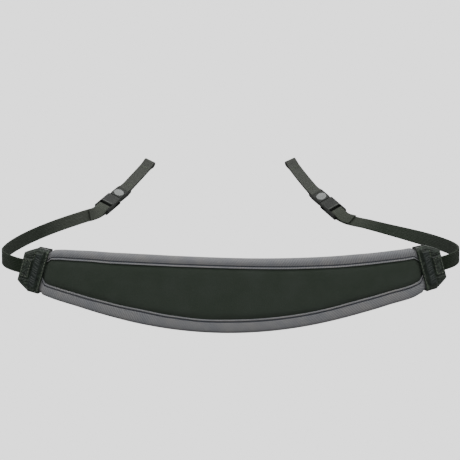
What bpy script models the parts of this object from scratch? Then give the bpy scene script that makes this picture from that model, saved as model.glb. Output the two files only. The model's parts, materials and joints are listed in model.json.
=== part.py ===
"""Neck strap with a padded crescent, two moulded end tabs, narrow webbing and two small buckles.

Metres, +Z up. The origin is midway between the two ring eyes that the strap hangs on. +X runs from
the left eye to the right one, and the pad stands in front of the eyes, towards -Y. The pad is drawn
flat, as its cloth is cut, and then wrapped round an upright cylinder.
"""
import math
from collections import namedtuple

import bmesh
import bpy
import numpy as np
from mathutils import Matrix, Vector

# Clearance between neighbouring pieces
FIT_GAP = 0.0003

# Ring eyes
RING_SPACING = 0.120
EYE_RADIUS = 0.0017

# Webbing
WEB_WIDTH = 0.010
WEB_THICK = 0.0013
LOOP_WIDTH = 0.0095
LOOP_THICK = 0.0011
LOOP_LENGTH = 0.0393
LOOP_MERGE = 0.0055

# How each side hangs, in degrees: the ring loop's spread in plan, its drop, the roll of its face, its
# edgewise bend and the buckle's lift from it, then the spread and drop of the webbing's run, and the
# share by which the webbing stands upright where its tail ends
Side = namedtuple("Side", "name sign splay drop roll sway lift run_splay run_drop upright")
SIDES = (
    Side("left", -1, 35.2, 27.0, 24.0, 1.0, 10.6, 41.0, 2.8, 0.8),
    Side("right", 1, 33.1, 34.5, 25.0, 5.6, 13.4, 39.7, 1.9, 0.2),
)

# Pad, drawn flat
PAD_TOP_LENGTH = 0.2570
PAD_BOTTOM_LENGTH = 0.2768
PAD_END_HEIGHT = 0.0290
TOP_SAG = 0.0020
BOTTOM_SAG = 0.0234
TOP_SKEW = 0.0013
BOTTOM_SKEW = 0.0002
PAD_RADIUS = 0.370
PAD_REACH = 0.3541
PAD_LEVEL = 0.0005
PAD_SHIFT = 0.0014
PAD_STATIONS = 45

# Pad thickness
CORE_EDGE_THICK = 0.0020
PANEL_THICK = 0.0046
PANEL_CROWN = 0.0003
PANEL_SHOULDER = 0.0025
CORE_EDGE_ROUND = 0.0008

# Edge bands
BAND_TOP = 0.0070
BAND_BOTTOM = 0.0090
BAND_WALL = 0.0010
HEM_RISE = 0.00035
HEM_WIDTH = 0.0011
GROOVE_DEPTH = 0.0002
GROOVE_WIDTH = 0.0014
FOLD_ROUND = 0.0022
TOP_CORNER_RUN = 0.0050
TOP_CORNER_RISE = 0.0016
BOTTOM_CORNER_RUN = 0.0090
BOTTOM_CORNER_RISE = 0.0022

# End tabs
TAB_LENGTH = 0.0174
TAB_INSERT = 0.0060
TAB_WALL = 0.0011
TAB_CHAMFER_START = 0.0082
TAB_NARROW = 0.0005
TAB_OUTER_HEIGHT = 0.0198
TAB_BEVEL = 0.0016
TAB_BEVEL_DROP = 0.0010
WEB_INSERT = 0.0080
PINCH_RUN = 0.0030
PINCH_SQUEEZE = 0.00045
RAISED_BAND_START = 0.0032
RAISED_BAND_WIDTH = 0.0054
RELIEF = 0.00045
PATCH_LENGTH = 0.0066
PATCH_MARGIN = 0.0009

# Webbing route between buckle and tab
STRAIGHT_RUN = 0.0035
LEAVE_RUN = 0.0140
RUN_HANDLE = 0.061
TURN_HANDLE = 0.038
TURN_BULGE = 0.0154
TURN_DEPTH = 0.0425
TURN_DROP = 0.0020
TURN_RISE = math.radians(4.0)
TURN_NEAR_HANDLE = 0.020
TURN_TAB_HANDLE = 0.008
TAIL_LENGTH = 0.0200

# Buckles, measured along the strap from the plug's bar
BUCKLE_HALF_WIDTH = 0.0064
BUCKLE_HALF_THICK = 0.0030
BAR_RADIUS = 0.0010
PLUG_SLOT = 0.0020
PLUG_LENGTH = 0.0144
PLUG_HALF_WIDTH = 0.0058
PLUG_HALF_THICK = 0.0025
PLUG_NOSE = 0.0014
BADGE_RADIUS = 0.0042
BADGE_DEPTH = 0.0009
BADGE_DOME = 0.0003
BADGE_FROM_BAR = 0.0090
PRONG_LENGTH = 0.0085
PRONG_WIDTH = 0.0014
PRONG_HALF_THICK = 0.0013
PRONG_CATCH = 0.0009
GUIDE_HALF_WIDTH = 0.0011
SOCKET_LENGTH = 0.0220
SHELL_LENGTH = 0.0133
SHELL_WALL = 0.0010
SHELL_DEPTH = 0.0102
RIDGE_WIDTH = 0.0013
RIDGE_HEIGHT = 0.0005
WINDOW_START = 0.0038
WINDOW_LENGTH = 0.0050
SOCKET_BAR_RADIUS = 0.0011
SOCKET_BAR_STRETCH = 0.0012
EDGE_BEVEL = 0.0009


def clear_scene():
    """Removes whatever the scene holds."""
    for old in list(bpy.data.objects):
        bpy.data.objects.remove(old, do_unlink=True)


def make_material(name, colour, roughness):
    """One Principled material of a plain colour."""
    material = bpy.data.materials.new(name)
    material.use_nodes = True
    shader = material.node_tree.nodes["Principled BSDF"]
    shader.inputs["Base Color"].default_value = (*colour, 1.0)
    shader.inputs["Roughness"].default_value = roughness
    return material


def add_object(name, mesh, material):
    """Puts a mesh in the scene with its material."""
    piece = bpy.data.objects.new(name, mesh)
    bpy.context.scene.collection.objects.link(piece)
    mesh.materials.clear()
    mesh.materials.append(material)
    return piece


def unit(vector):
    """A vector, or an array of them, at length one."""
    vector = np.asarray(vector, dtype=float)
    return vector / np.linalg.norm(vector, axis=-1, keepdims=True)


def smooth(value):
    """A soft step from 0 to 1."""
    value = np.clip(value, 0.0, 1.0)
    return value * value * (3.0 - 2.0 * value)


def mesh_from_rings(name, rings, is_loop=False):
    """A closed body through a row of section outlines, capped at both ends or run round as a loop."""
    stations, points = rings.shape[:2]
    body = bmesh.new()
    verts = [[body.verts.new(point) for point in ring] for ring in rings]
    last = stations if is_loop else stations - 1
    for i in range(last):
        here = verts[i]
        there = verts[(i + 1) % stations]
        for j in range(points):
            k = (j + 1) % points
            body.faces.new((here[j], here[k], there[k], there[j]))
    if not is_loop:
        body.faces.new(verts[0])
        body.faces.new(verts[-1])
    bmesh.ops.recalc_face_normals(body, faces=body.faces)
    mesh = bpy.data.meshes.new(name)
    body.to_mesh(mesh)
    body.free()
    return mesh


def hull(points):
    """The convex body round some points, with its flat faces whole."""
    body = bmesh.new()
    verts = [body.verts.new(point) for point in points]
    made = bmesh.ops.convex_hull(body, input=verts)
    inside = [item for item in made["geom_interior"] if isinstance(item, bmesh.types.BMVert)]
    bmesh.ops.delete(body, geom=inside, context="VERTS")
    bmesh.ops.dissolve_limit(
        body, angle_limit=math.radians(0.2), verts=body.verts, edges=body.edges
    )
    bmesh.ops.recalc_face_normals(body, faces=body.faces)
    mesh = bpy.data.meshes.new("hull")
    body.to_mesh(mesh)
    body.free()
    return mesh


def box(low, high):
    """A plain box between two corners."""
    return hull([(x, y, z) for x in (low[0], high[0]) for y in (low[1], high[1]) for z in (low[2], high[2])])


def bevelled_box(low, high, bevel):
    """A box whose twelve edges are cut back by a bevel."""
    points = []
    middle = [(a + b) / 2 for a, b in zip(low, high)]
    for x in (low[0], high[0]):
        for y in (low[1], high[1]):
            for z in (low[2], high[2]):
                corner = (x, y, z)
                for kept in range(3):
                    point = [
                        value if axis == kept else value + math.copysign(bevel, middle[axis] - value)
                        for axis, value in enumerate(corner)
                    ]
                    points.append(point)
    return hull(points)


def carve(base, steps):
    """Joins bodies to a mesh and cuts others from it, in order."""
    scene = bpy.context.scene.collection.objects
    worked = bpy.data.objects.new("worked", base)
    scene.link(worked)
    tools = []
    for operation, mesh in steps:
        tool = bpy.data.objects.new("tool", mesh)
        scene.link(tool)
        tools.append(tool)
        modifier = worked.modifiers.new(operation, "BOOLEAN")
        modifier.operation = operation
        modifier.solver = "EXACT"
        modifier.object = tool
    graph = bpy.context.evaluated_depsgraph_get()
    result = bpy.data.meshes.new_from_object(worked.evaluated_get(graph))
    for used in [worked, *tools]:
        bpy.data.objects.remove(used, do_unlink=True)
    return result


def move_points(mesh, mapping):
    """Sends every point of a mesh through a mapping, and turns its faces outwards again."""
    body = bmesh.new()
    body.from_mesh(mesh)
    bmesh.ops.remove_doubles(body, verts=body.verts, dist=0.000002)
    for vert in body.verts:
        vert.co = mapping(vert.co)
    bmesh.ops.recalc_face_normals(body, faces=body.faces)
    body.to_mesh(mesh)
    body.free()
    return mesh


def pad_surface(u, z, n):
    """Wraps a point of the flat pad, with its height over the cloth's middle, round the cylinder."""
    angle = u / PAD_RADIUS
    radius = PAD_RADIUS + n
    x = PAD_SHIFT + radius * np.sin(angle)
    y = PAD_RADIUS - PAD_REACH - radius * np.cos(angle)
    return np.stack(np.broadcast_arrays(x, y, z), axis=-1)


def pad_edges(s):
    """The flat pad's top and bottom edge points at share s of its half length."""
    sag = np.cos(np.pi * s / 2)
    lean = np.sin(np.pi * s) * (1.0 - s ** 4)
    top_level = PAD_LEVEL - TOP_SAG * sag - TOP_SKEW * lean
    bottom_level = PAD_LEVEL - PAD_END_HEIGHT - BOTTOM_SAG * sag + BOTTOM_SKEW * lean
    top = np.stack([s * PAD_TOP_LENGTH / 2, top_level], axis=-1)
    bottom = np.stack([s * PAD_BOTTOM_LENGTH / 2, bottom_level], axis=-1)
    return top, bottom


def end_distance(s):
    """How far a station is from the pad's nearer end."""
    return (1.0 - np.abs(s)) * PAD_TOP_LENGTH / 2


def pinch(s):
    """0 along the free pad, 1 where the tab squeezes it."""
    return smooth((TAB_INSERT + PINCH_RUN - end_distance(s)) / PINCH_RUN)


def corner_growth(s, run, rise):
    """How much a band widens where its hem turns the panel's corner beside the tab."""
    share = np.clip((run + TAB_INSERT - end_distance(s)) / run, 0.0, 1.0)
    return rise * (1.0 - np.sqrt(1.0 - share ** 2))


def pad_stations():
    """Shares of the half length, closer together towards the ends."""
    return np.sin(np.linspace(-np.pi / 2, np.pi / 2, PAD_STATIONS))


# Half thickness inside and outside the folded bands
CORE_EDGE_HALF = CORE_EDGE_THICK / 2
BAND_INNER_HALF = CORE_EDGE_HALF + FIT_GAP
BAND_OUTER_HALF = BAND_INNER_HALF + BAND_WALL
PINCH_INSET = TAB_WALL + FIT_GAP
POCKET_HALF = BAND_OUTER_HALF + HEM_RISE - PINCH_SQUEEZE + FIT_GAP


def section_frame(s):
    """Each station's edge point and line across the pad, its height and how far it is squeezed."""
    top, bottom = pad_edges(s)
    across = unit(top - bottom)
    inset = PINCH_INSET * pinch(s)
    height = np.linalg.norm(top - bottom, axis=-1) - 2 * inset
    start = top - across * inset[:, None]
    return start, across, height, PINCH_SQUEEZE * pinch(s)


def place_sections(s, columns, from_bottom=False):
    """Turns rows of distance from an edge and height over the middle into wrapped outlines."""
    start, across, height, squeeze = section_frame(s)
    rings = []
    for distance, rise in columns:
        distance = np.broadcast_to(distance, s.shape)
        down = height - distance if from_bottom else distance
        flat = start - across * down[:, None]
        rise = rise - math.copysign(1.0, rise) * squeeze
        rings.append(pad_surface(flat[:, 0], flat[:, 1], rise))
    return np.stack(rings, axis=1)


def make_core():
    """The padded panel: thin where the bands fold over it, crowned between them."""
    s = pad_stations()
    height = section_frame(s)[2]
    edge = BAND_WALL + FIT_GAP
    top_hem = BAND_TOP + corner_growth(s, TOP_CORNER_RUN, TOP_CORNER_RISE) + FIT_GAP
    bottom_hem = height - FIT_GAP - BAND_BOTTOM
    bottom_hem = bottom_hem - corner_growth(s, BOTTOM_CORNER_RUN, BOTTOM_CORNER_RISE)
    panel_half = PANEL_THICK / 2
    shoulder_half = panel_half + PANEL_CROWN / 2
    front = [
        (edge, CORE_EDGE_HALF / 2),
        (edge + CORE_EDGE_ROUND, CORE_EDGE_HALF),
        (top_hem, CORE_EDGE_HALF),
        (top_hem, panel_half),
        (top_hem + PANEL_SHOULDER, shoulder_half),
        ((top_hem + bottom_hem) / 2, panel_half + PANEL_CROWN),
        (bottom_hem - PANEL_SHOULDER, shoulder_half),
        (bottom_hem, panel_half),
        (bottom_hem, CORE_EDGE_HALF),
        (height - edge - CORE_EDGE_ROUND, CORE_EDGE_HALF),
        (height - edge, CORE_EDGE_HALF / 2),
    ]
    back = [(distance, -rise) for distance, rise in reversed(front)]
    return mesh_from_rings("pad_core", place_sections(s, front + back))


def make_band(name, width, corner_run, corner_rise, from_bottom):
    """A cloth band folded over one edge of the pad, with a raised hem and its stitched groove."""
    s = pad_stations()
    hem = width + corner_growth(s, corner_run, corner_rise)
    outer = [
        (hem, BAND_INNER_HALF),
        (hem, BAND_OUTER_HALF + HEM_RISE / 3),
        (hem - HEM_WIDTH / 2, BAND_OUTER_HALF + HEM_RISE),
        (hem - HEM_WIDTH, BAND_OUTER_HALF + HEM_RISE / 3),
        (hem - HEM_WIDTH - GROOVE_WIDTH / 2, BAND_OUTER_HALF - GROOVE_DEPTH),
        (hem - HEM_WIDTH - GROOVE_WIDTH, BAND_OUTER_HALF),
        (FOLD_ROUND, BAND_OUTER_HALF),
        (FOLD_ROUND / 3, BAND_OUTER_HALF * 0.72),
        (0.0, BAND_OUTER_HALF * 0.25),
    ]
    back = [(distance, -rise) for distance, rise in reversed(outer)]
    inner = [
        (BAND_WALL + CORE_EDGE_ROUND, -BAND_INNER_HALF),
        (BAND_WALL, -BAND_INNER_HALF / 2),
        (BAND_WALL, BAND_INNER_HALF / 2),
        (BAND_WALL + CORE_EDGE_ROUND, BAND_INNER_HALF),
    ]
    rings = place_sections(s, outer + back + inner, from_bottom)
    return mesh_from_rings(name, rings)


def tab_frame():
    """The flat frame of a right-hand tab: its mouth's middle, its axes, slant and half height."""
    mouth = 1.0 - TAB_INSERT / (PAD_TOP_LENGTH / 2)
    top, bottom = pad_edges(np.array(mouth))
    step = 0.001
    ahead_top, ahead_bottom = pad_edges(np.array(mouth + step))
    along = unit(unit(ahead_top - top) + unit(ahead_bottom - bottom))
    across = np.array([-along[1], along[0]])
    half_line = (top - bottom) / 2
    half_height = half_line @ across
    slant = -(half_line @ along) / half_height
    return (top + bottom) / 2, along, across, slant, half_height


def tab_to_flat(a, c, slanted=True):
    """A place on the tab, outward a and up c, as a point of the flat pad."""
    middle, along, across, slant, _ = tab_frame()
    if slanted:
        a = a - c * slant
    return middle + along * a + across * c


def face_half(a):
    """Half the tab's thickness at its face, thinner towards the webbing."""
    inner = POCKET_HALF + TAB_WALL
    outer = WEB_THICK / 2 + FIT_GAP + TAB_WALL
    return inner + (outer - inner) * a / TAB_LENGTH


def tab_relief(a_low, a_high, c_half, height):
    """A low raised field on the tab's front, with sloped sides."""
    points = []
    for a, lean in ((a_low, 1), (a_high, -1)):
        for sign in (-1, 1):
            flat = tab_to_flat(a, sign * c_half)
            points.append((*flat, face_half(a) - TAB_WALL / 3))
            flat = tab_to_flat(a + lean * height, sign * (c_half - height))
            points.append((*flat, face_half(a) + height))
    return hull(points)


def make_tab(side):
    """A moulded end tab: bevelled body, raised plain band, pocket for the pad, slot for webbing."""
    half_height = tab_frame()[4]
    shoulder = half_height - TAB_NARROW
    outline = (
        (0.0, half_height, 0.0, half_height - TAB_BEVEL),
        (TAB_CHAMFER_START, shoulder, TAB_CHAMFER_START - TAB_BEVEL / 2, shoulder - TAB_BEVEL),
        (TAB_LENGTH, TAB_OUTER_HEIGHT / 2, TAB_LENGTH - TAB_BEVEL, (TAB_OUTER_HEIGHT - TAB_BEVEL) / 2),
    )
    points = []
    for a, c, inner_a, inner_c in outline:
        for sign in (-1, 1):
            for front in (-1, 1):
                rim = (face_half(a) - TAB_BEVEL_DROP) * front
                points.append((*tab_to_flat(a, sign * c), rim))
                points.append((*tab_to_flat(inner_a, sign * inner_c), face_half(inner_a) * front))
    body = hull(points)
    raised = tab_relief(
        RAISED_BAND_START,
        RAISED_BAND_START + RAISED_BAND_WIDTH,
        shoulder - TAB_BEVEL - RELIEF,
        RELIEF,
    )
    patch_end = TAB_LENGTH - TAB_BEVEL / 2
    patch = tab_relief(patch_end - PATCH_LENGTH, patch_end, WEB_WIDTH / 2 + PATCH_MARGIN, RELIEF)

    pocket = []
    mouth = 1.0 - TAB_INSERT / (PAD_TOP_LENGTH / 2)
    for s in (mouth - 0.01, 1.0 + FIT_GAP / (PAD_TOP_LENGTH / 2)):
        top, bottom = pad_edges(np.array(s))
        line = unit(top - bottom)
        for flat in (top - line * TAB_WALL, bottom + line * TAB_WALL):
            pocket.append((*flat, POCKET_HALF))
            pocket.append((*flat, -POCKET_HALF))
    slot = []
    slot_half = WEB_THICK / 2 + FIT_GAP
    for a in (TAB_LENGTH - WEB_INSERT - FIT_GAP, TAB_LENGTH + WEB_INSERT):
        for c in (-WEB_WIDTH / 2 - FIT_GAP, WEB_WIDTH / 2 + FIT_GAP):
            flat = tab_to_flat(a, c, slanted=False)
            slot.append((*flat, slot_half))
            slot.append((*flat, -slot_half))
    mesh = carve(
        body,
        [("UNION", raised), ("UNION", patch), ("DIFFERENCE", hull(pocket)), ("DIFFERENCE", hull(slot))],
    )

    def wrap(point):
        return Vector(pad_surface(np.float64(point.x * side.sign), point.y, point.z))

    return move_points(mesh, wrap)


Frame = namedtuple("Frame", "origin along across normal")


def loop_frame(side):
    """The ring loop's frame: its eye, its line down to the buckle, its width and its face."""
    out = side.sign
    roll = math.radians(side.roll)
    along = heading_at(out, side.splay, side.drop)
    splay = math.radians(side.splay)
    level = np.array([out * math.cos(splay), math.sin(splay), 0.0])
    upright = out * np.cross(along, level)
    across = math.cos(roll) * level + math.sin(roll) * upright
    normal = math.cos(roll) * upright - math.sin(roll) * level
    return Frame(np.array([out * RING_SPACING / 2, 0.0, 0.0]), along, across, normal)


def heading_at(out, splay, drop):
    """A direction towards the pad, spread outwards and dropping by angles in degrees."""
    splay = math.radians(splay)
    drop = math.radians(drop)
    flat_run = math.cos(drop)
    return np.array([
        out * math.sin(splay) * flat_run,
        -math.cos(splay) * flat_run,
        -math.sin(drop),
    ])


def swayed(frame, distance, sway):
    """A frame further along a loop that bends edgewise by an angle over its whole length."""
    radius = LOOP_LENGTH / math.radians(sway)
    angle = distance / radius
    side_step = radius * (1.0 - math.cos(angle))
    origin = frame.origin + radius * math.sin(angle) * frame.along + side_step * frame.across
    along = math.cos(angle) * frame.along + math.sin(angle) * frame.across
    across = math.cos(angle) * frame.across - math.sin(angle) * frame.along
    return Frame(origin, along, across, frame.normal)


def buckle_frame(side):
    """The buckle's frame, with its origin on the plug's bar, lifted about its width."""
    frame = swayed(loop_frame(side), LOOP_LENGTH, side.sway)
    lift = math.radians(side.lift)
    along = math.cos(lift) * frame.along + math.sin(lift) * frame.normal
    normal = math.cos(lift) * frame.normal - math.sin(lift) * frame.along
    return Frame(frame.origin, along, frame.across, normal)


def frame_matrix(frame, sign):
    """A right-handed placement for a piece that is drawn along X with its face up."""
    columns = (frame.along, sign * frame.across, frame.normal, frame.origin)
    matrix = Matrix.Identity(4)
    for column, vector in enumerate(columns):
        for row in range(3):
            matrix[row][column] = vector[row]
    return matrix


def make_ring_loop(side):
    """A flat band of webbing sewn into a long loop, with an eye for the ring and one for the bar."""
    frame = loop_frame(side)
    layer = LOOP_THICK / 2 + FIT_GAP / 2
    eye = EYE_RADIUS + LOOP_THICK / 2
    bar_eye = BAR_RADIUS + FIT_GAP + LOOP_THICK / 2
    turn = np.radians(np.linspace(62.0, 298.0, 11))
    path = [(eye * math.cos(angle), eye * math.sin(angle)) for angle in turn]
    flat_part = np.linspace(LOOP_MERGE, LOOP_LENGTH - LOOP_MERGE, 7)
    path += [(run, -layer) for run in flat_part]
    turn = np.radians(np.linspace(-112.0, 112.0, 11))
    path += [(LOOP_LENGTH + bar_eye * math.cos(t), bar_eye * math.sin(t)) for t in turn]
    path += [(run, layer) for run in flat_part[::-1]]
    path = np.array(path)
    step = unit(np.roll(path, -1, axis=0) - np.roll(path, 1, axis=0))
    outward = np.stack([step[:, 1], -step[:, 0]], axis=-1)
    rings = []
    for width_sign, thick_sign in ((-1, -1), (1, -1), (1, 1), (-1, 1)):
        corners = []
        for run, rise in path + outward * thick_sign * LOOP_THICK / 2:
            here = swayed(frame, run, side.sway)
            edge = here.across * width_sign * LOOP_WIDTH / 2
            corners.append(here.origin + here.normal * rise + edge)
        rings.append(corners)
    return mesh_from_rings("ring_loop", np.stack(rings, axis=1), is_loop=True)


def bezier(p0, p1, p2, p3, count):
    """Points along a cubic curve, without its last one."""
    t = np.linspace(0.0, 1.0, count, endpoint=False)[:, None]
    return (1 - t) ** 3 * p0 + 3 * (1 - t) ** 2 * t * p1 + 3 * (1 - t) * t ** 2 * p2 + t ** 3 * p3


def socket_bar_distance():
    """How far the socket's bar lies from the plug's bar."""
    web_turn = 2 * FIT_GAP + WEB_THICK + SOCKET_BAR_RADIUS
    return PLUG_LENGTH + FIT_GAP + SHELL_LENGTH + RIDGE_WIDTH / 2 + web_turn


def web_route(side):
    """The webbing's middle line from the socket's bar to its end in the tab, with its width keys."""
    frame = buckle_frame(side)
    start = frame.origin + frame.along * socket_bar_distance()
    out = side.sign

    straight = np.linspace(0.0, STRAIGHT_RUN, 8, endpoint=False)[:, None]
    points = [start + frame.along * straight]
    run_heading = heading_at(out, side.run_splay, side.run_drop)
    share = np.linspace(0.0, 1.0, 24)[:, None]
    headings = unit(frame.along * (1 - smooth(share)) + run_heading * smooth(share))
    leave = start + frame.along * STRAIGHT_RUN + np.cumsum(headings * LEAVE_RUN / len(share), axis=0)
    points.append(leave[:-1])
    run_start = leave[-1]

    def tab_place(a, c=0.0):
        flat = tab_to_flat(a, c, slanted=False)
        return pad_surface(np.float64(flat[0] * out), flat[1], 0.0)

    exit_point = tab_place(TAB_LENGTH + WEB_THICK)
    into_tab = unit(tab_place(TAB_LENGTH) - exit_point)
    tab_width = unit(tab_place(TAB_LENGTH, WEB_WIDTH / 2) - tab_place(TAB_LENGTH, -WEB_WIDTH / 2))
    turn_point = exit_point + np.array([out * TURN_BULGE, TURN_DEPTH, -TURN_DROP])
    heading = np.array([0.0, -math.cos(TURN_RISE), math.sin(TURN_RISE)])
    points.append(bezier(
        run_start,
        run_start + run_heading * RUN_HANDLE,
        turn_point - heading * TURN_HANDLE,
        turn_point,
        120,
    ))
    points.append(bezier(
        turn_point,
        turn_point + heading * TURN_NEAR_HANDLE,
        exit_point - into_tab * TURN_TAB_HANDLE,
        exit_point,
        60,
    ))
    last = tab_place(TAB_LENGTH - WEB_INSERT)
    share = np.linspace(0.0, 1.0, 8)[:, None]
    points.append(exit_point + (last - exit_point) * share)
    counts = np.cumsum([len(group) for group in points])
    line = np.concatenate(points)
    travel = np.concatenate([[0.0], np.cumsum(np.linalg.norm(np.diff(line, axis=0), axis=1))])
    key_travel = np.array([0.0, TAIL_LENGTH, travel[counts[2]], travel[counts[3]]])
    upright = np.array([0.0, 0.0, 1.0])
    tail_width = frame.across * (1 - side.upright) + upright * side.upright
    keys = np.array([frame.across, tail_width, upright, tab_width])
    return line, travel, key_travel, keys


def web_frames(side, at):
    """The webbing's place, width and face directions at distances from the socket's bar."""
    line, travel, key_travel, keys = web_route(side)

    def place(distance):
        return np.stack([np.interp(distance, travel, line[:, axis]) for axis in range(3)], axis=-1)

    probe = 0.0004
    centre = place(at)
    ahead = place(np.minimum(at + probe, travel[-1]))
    behind = place(np.maximum(at - probe, 0.0))
    heading = unit(ahead - behind)
    stage = np.interp(at, key_travel, np.arange(len(key_travel)))
    lower = np.minimum(stage.astype(int), len(key_travel) - 2)
    blend = smooth(stage - lower)[:, None]
    width = unit(keys[lower] * (1 - blend) + keys[lower + 1] * blend)
    width = unit(width - heading * np.sum(width * heading, axis=1, keepdims=True))
    face = side.sign * np.cross(heading, width)
    return centre, width, face


def make_webbing(side):
    """The flat webbing: out of the tab, round to the back, round the socket's bar and doubled."""
    _, travel, key_travel, _ = web_route(side)
    near = np.linspace(0.0, TAIL_LENGTH, 9)
    run = np.linspace(TAIL_LENGTH, key_travel[2], 20)[1:]
    turn = np.linspace(key_travel[2], key_travel[3], 15)[1:]
    tab = np.linspace(key_travel[3], travel[-1], 3)[1:]
    at = np.concatenate([near, run, turn, tab])
    centre, width, face = web_frames(side, at)
    bar_offset = SOCKET_BAR_RADIUS + FIT_GAP + WEB_THICK / 2
    pair_offset = (WEB_THICK + FIT_GAP) / 2
    leaving = smooth((at - STRAIGHT_RUN) / (TAIL_LENGTH - STRAIGHT_RUN) * 2)
    offset = bar_offset + (pair_offset - bar_offset) * leaving
    main_offset = offset * (1.0 - smooth((at - TAIL_LENGTH) / TAIL_LENGTH))

    main = centre - face * main_offset[:, None]
    tail = (centre + face * offset[:, None])[:len(near)]
    bar = buckle_frame(side)
    turns = np.radians(np.linspace(-90.0, 90.0, 9))[1:-1][:, None]
    radial = -np.cos(turns) * bar.along + np.sin(turns) * bar.normal
    wrap = centre[0] + radial * bar_offset
    count = len(turns)
    place = np.concatenate([main[::-1], wrap, tail])
    across = np.concatenate([width[::-1], np.repeat(bar.across[None], count, axis=0), width[:len(near)]])
    outward = np.concatenate([-face[::-1], radial, face[:len(near)]])
    rings = []
    for width_sign, thick_sign in ((-1, -1), (1, -1), (1, 1), (-1, 1)):
        shift = across * width_sign * WEB_WIDTH / 2 + outward * thick_sign * WEB_THICK / 2
        rings.append(place + shift)
    return mesh_from_rings("webbing", np.stack(rings, axis=1))


def round_bar(centre, radius, stretch, half_width):
    """A bar across the strap with round edges, stretched towards the pad."""
    points = []
    for angle in np.radians(np.arange(0.0, 360.0, 22.5)):
        shift = stretch if math.cos(angle) > -radius else 0.0
        for y in (-half_width, half_width):
            points.append((centre + shift + radius * math.cos(angle), y, radius * math.sin(angle)))
            if abs(math.cos(angle)) < radius:
                points.append((centre, y, radius * math.sin(angle)))
    return hull(points)


def disc(centre, radius, low, high, rim, sides=24):
    """A round plate with its upper edge cut back by a rim."""
    points = []
    for angle in np.arange(sides) * 2 * math.pi / sides:
        direction = (math.cos(angle), math.sin(angle))
        points.append((centre + radius * direction[0], radius * direction[1], low))
        points.append((centre + radius * direction[0], radius * direction[1], high - rim))
        inner = radius - 3 * rim
        points.append((centre + inner * direction[0], inner * direction[1], high))
    return hull(points)


def make_plug():
    """The buckle's male half: bar and slot for the loop, round boss, prongs inside the socket."""
    slot_half = LOOP_WIDTH / 2 + FIT_GAP
    cheek = slot_half + EDGE_BEVEL * 0.6
    outline = (
        (-BAR_RADIUS - PLUG_NOSE, cheek),
        (PLUG_SLOT, PLUG_HALF_WIDTH),
        (PLUG_LENGTH - 2 * PLUG_NOSE, PLUG_HALF_WIDTH),
        (PLUG_LENGTH, PLUG_HALF_WIDTH - EDGE_BEVEL / 2),
    )
    points = []
    for a, c in outline:
        thick = PLUG_HALF_THICK if a > 0 else PLUG_HALF_THICK - EDGE_BEVEL
        for sign in (-1, 1):
            for front in (-1, 1):
                points.append((a, sign * c, front * (thick - EDGE_BEVEL)))
                points.append((a, sign * (c - EDGE_BEVEL), front * thick))
    body = hull(points)
    reach = 2 * PLUG_LENGTH
    slot_end = BAR_RADIUS + PLUG_SLOT
    slot = box((-reach, -slot_half, -reach), (slot_end, slot_half, reach))
    bar = round_bar(0.0, BAR_RADIUS, 0.0, slot_half + EDGE_BEVEL / 3)
    recess = disc(
        BADGE_FROM_BAR, BADGE_RADIUS + FIT_GAP, PLUG_HALF_THICK - BADGE_DEPTH, reach, FIT_GAP
    )
    steps = [("DIFFERENCE", slot), ("UNION", bar), ("DIFFERENCE", recess)]
    root = PLUG_LENGTH - PRONG_WIDTH
    tip = PLUG_LENGTH + PRONG_LENGTH
    inside = BUCKLE_HALF_WIDTH - SHELL_WALL - 2 * FIT_GAP
    for sign in (-1, 1):
        low = min(sign * inside, sign * (inside - PRONG_WIDTH))
        prong = box(
            (root, low, -PRONG_HALF_THICK), (tip, low + PRONG_WIDTH, PRONG_HALF_THICK)
        )
        steps.append(("UNION", prong))
        catch_start = PLUG_LENGTH + FIT_GAP + WINDOW_START + 2 * FIT_GAP
        catch_end = catch_start + WINDOW_LENGTH - 4 * FIT_GAP
        catch = []
        for z in (-PRONG_HALF_THICK, PRONG_HALF_THICK):
            catch.append((catch_start, sign * (inside - PRONG_WIDTH / 2), z))
            catch.append((catch_start, sign * (inside + PRONG_CATCH), z))
            catch.append((catch_end, sign * (inside + PRONG_CATCH / 2), z))
            catch.append((catch_end, sign * (inside - PRONG_WIDTH / 2), z))
        steps.append(("UNION", hull(catch)))
    guide = box(
        (root, -GUIDE_HALF_WIDTH, -PRONG_HALF_THICK), (tip, GUIDE_HALF_WIDTH, PRONG_HALF_THICK)
    )
    steps.append(("UNION", guide))
    return carve(body, steps)


def make_badge():
    """The plain round badge that sits in the plug's recess."""
    floor = PLUG_HALF_THICK - BADGE_DEPTH + FIT_GAP
    return disc(BADGE_FROM_BAR, BADGE_RADIUS, floor, PLUG_HALF_THICK + BADGE_DOME, BADGE_DOME)


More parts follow.
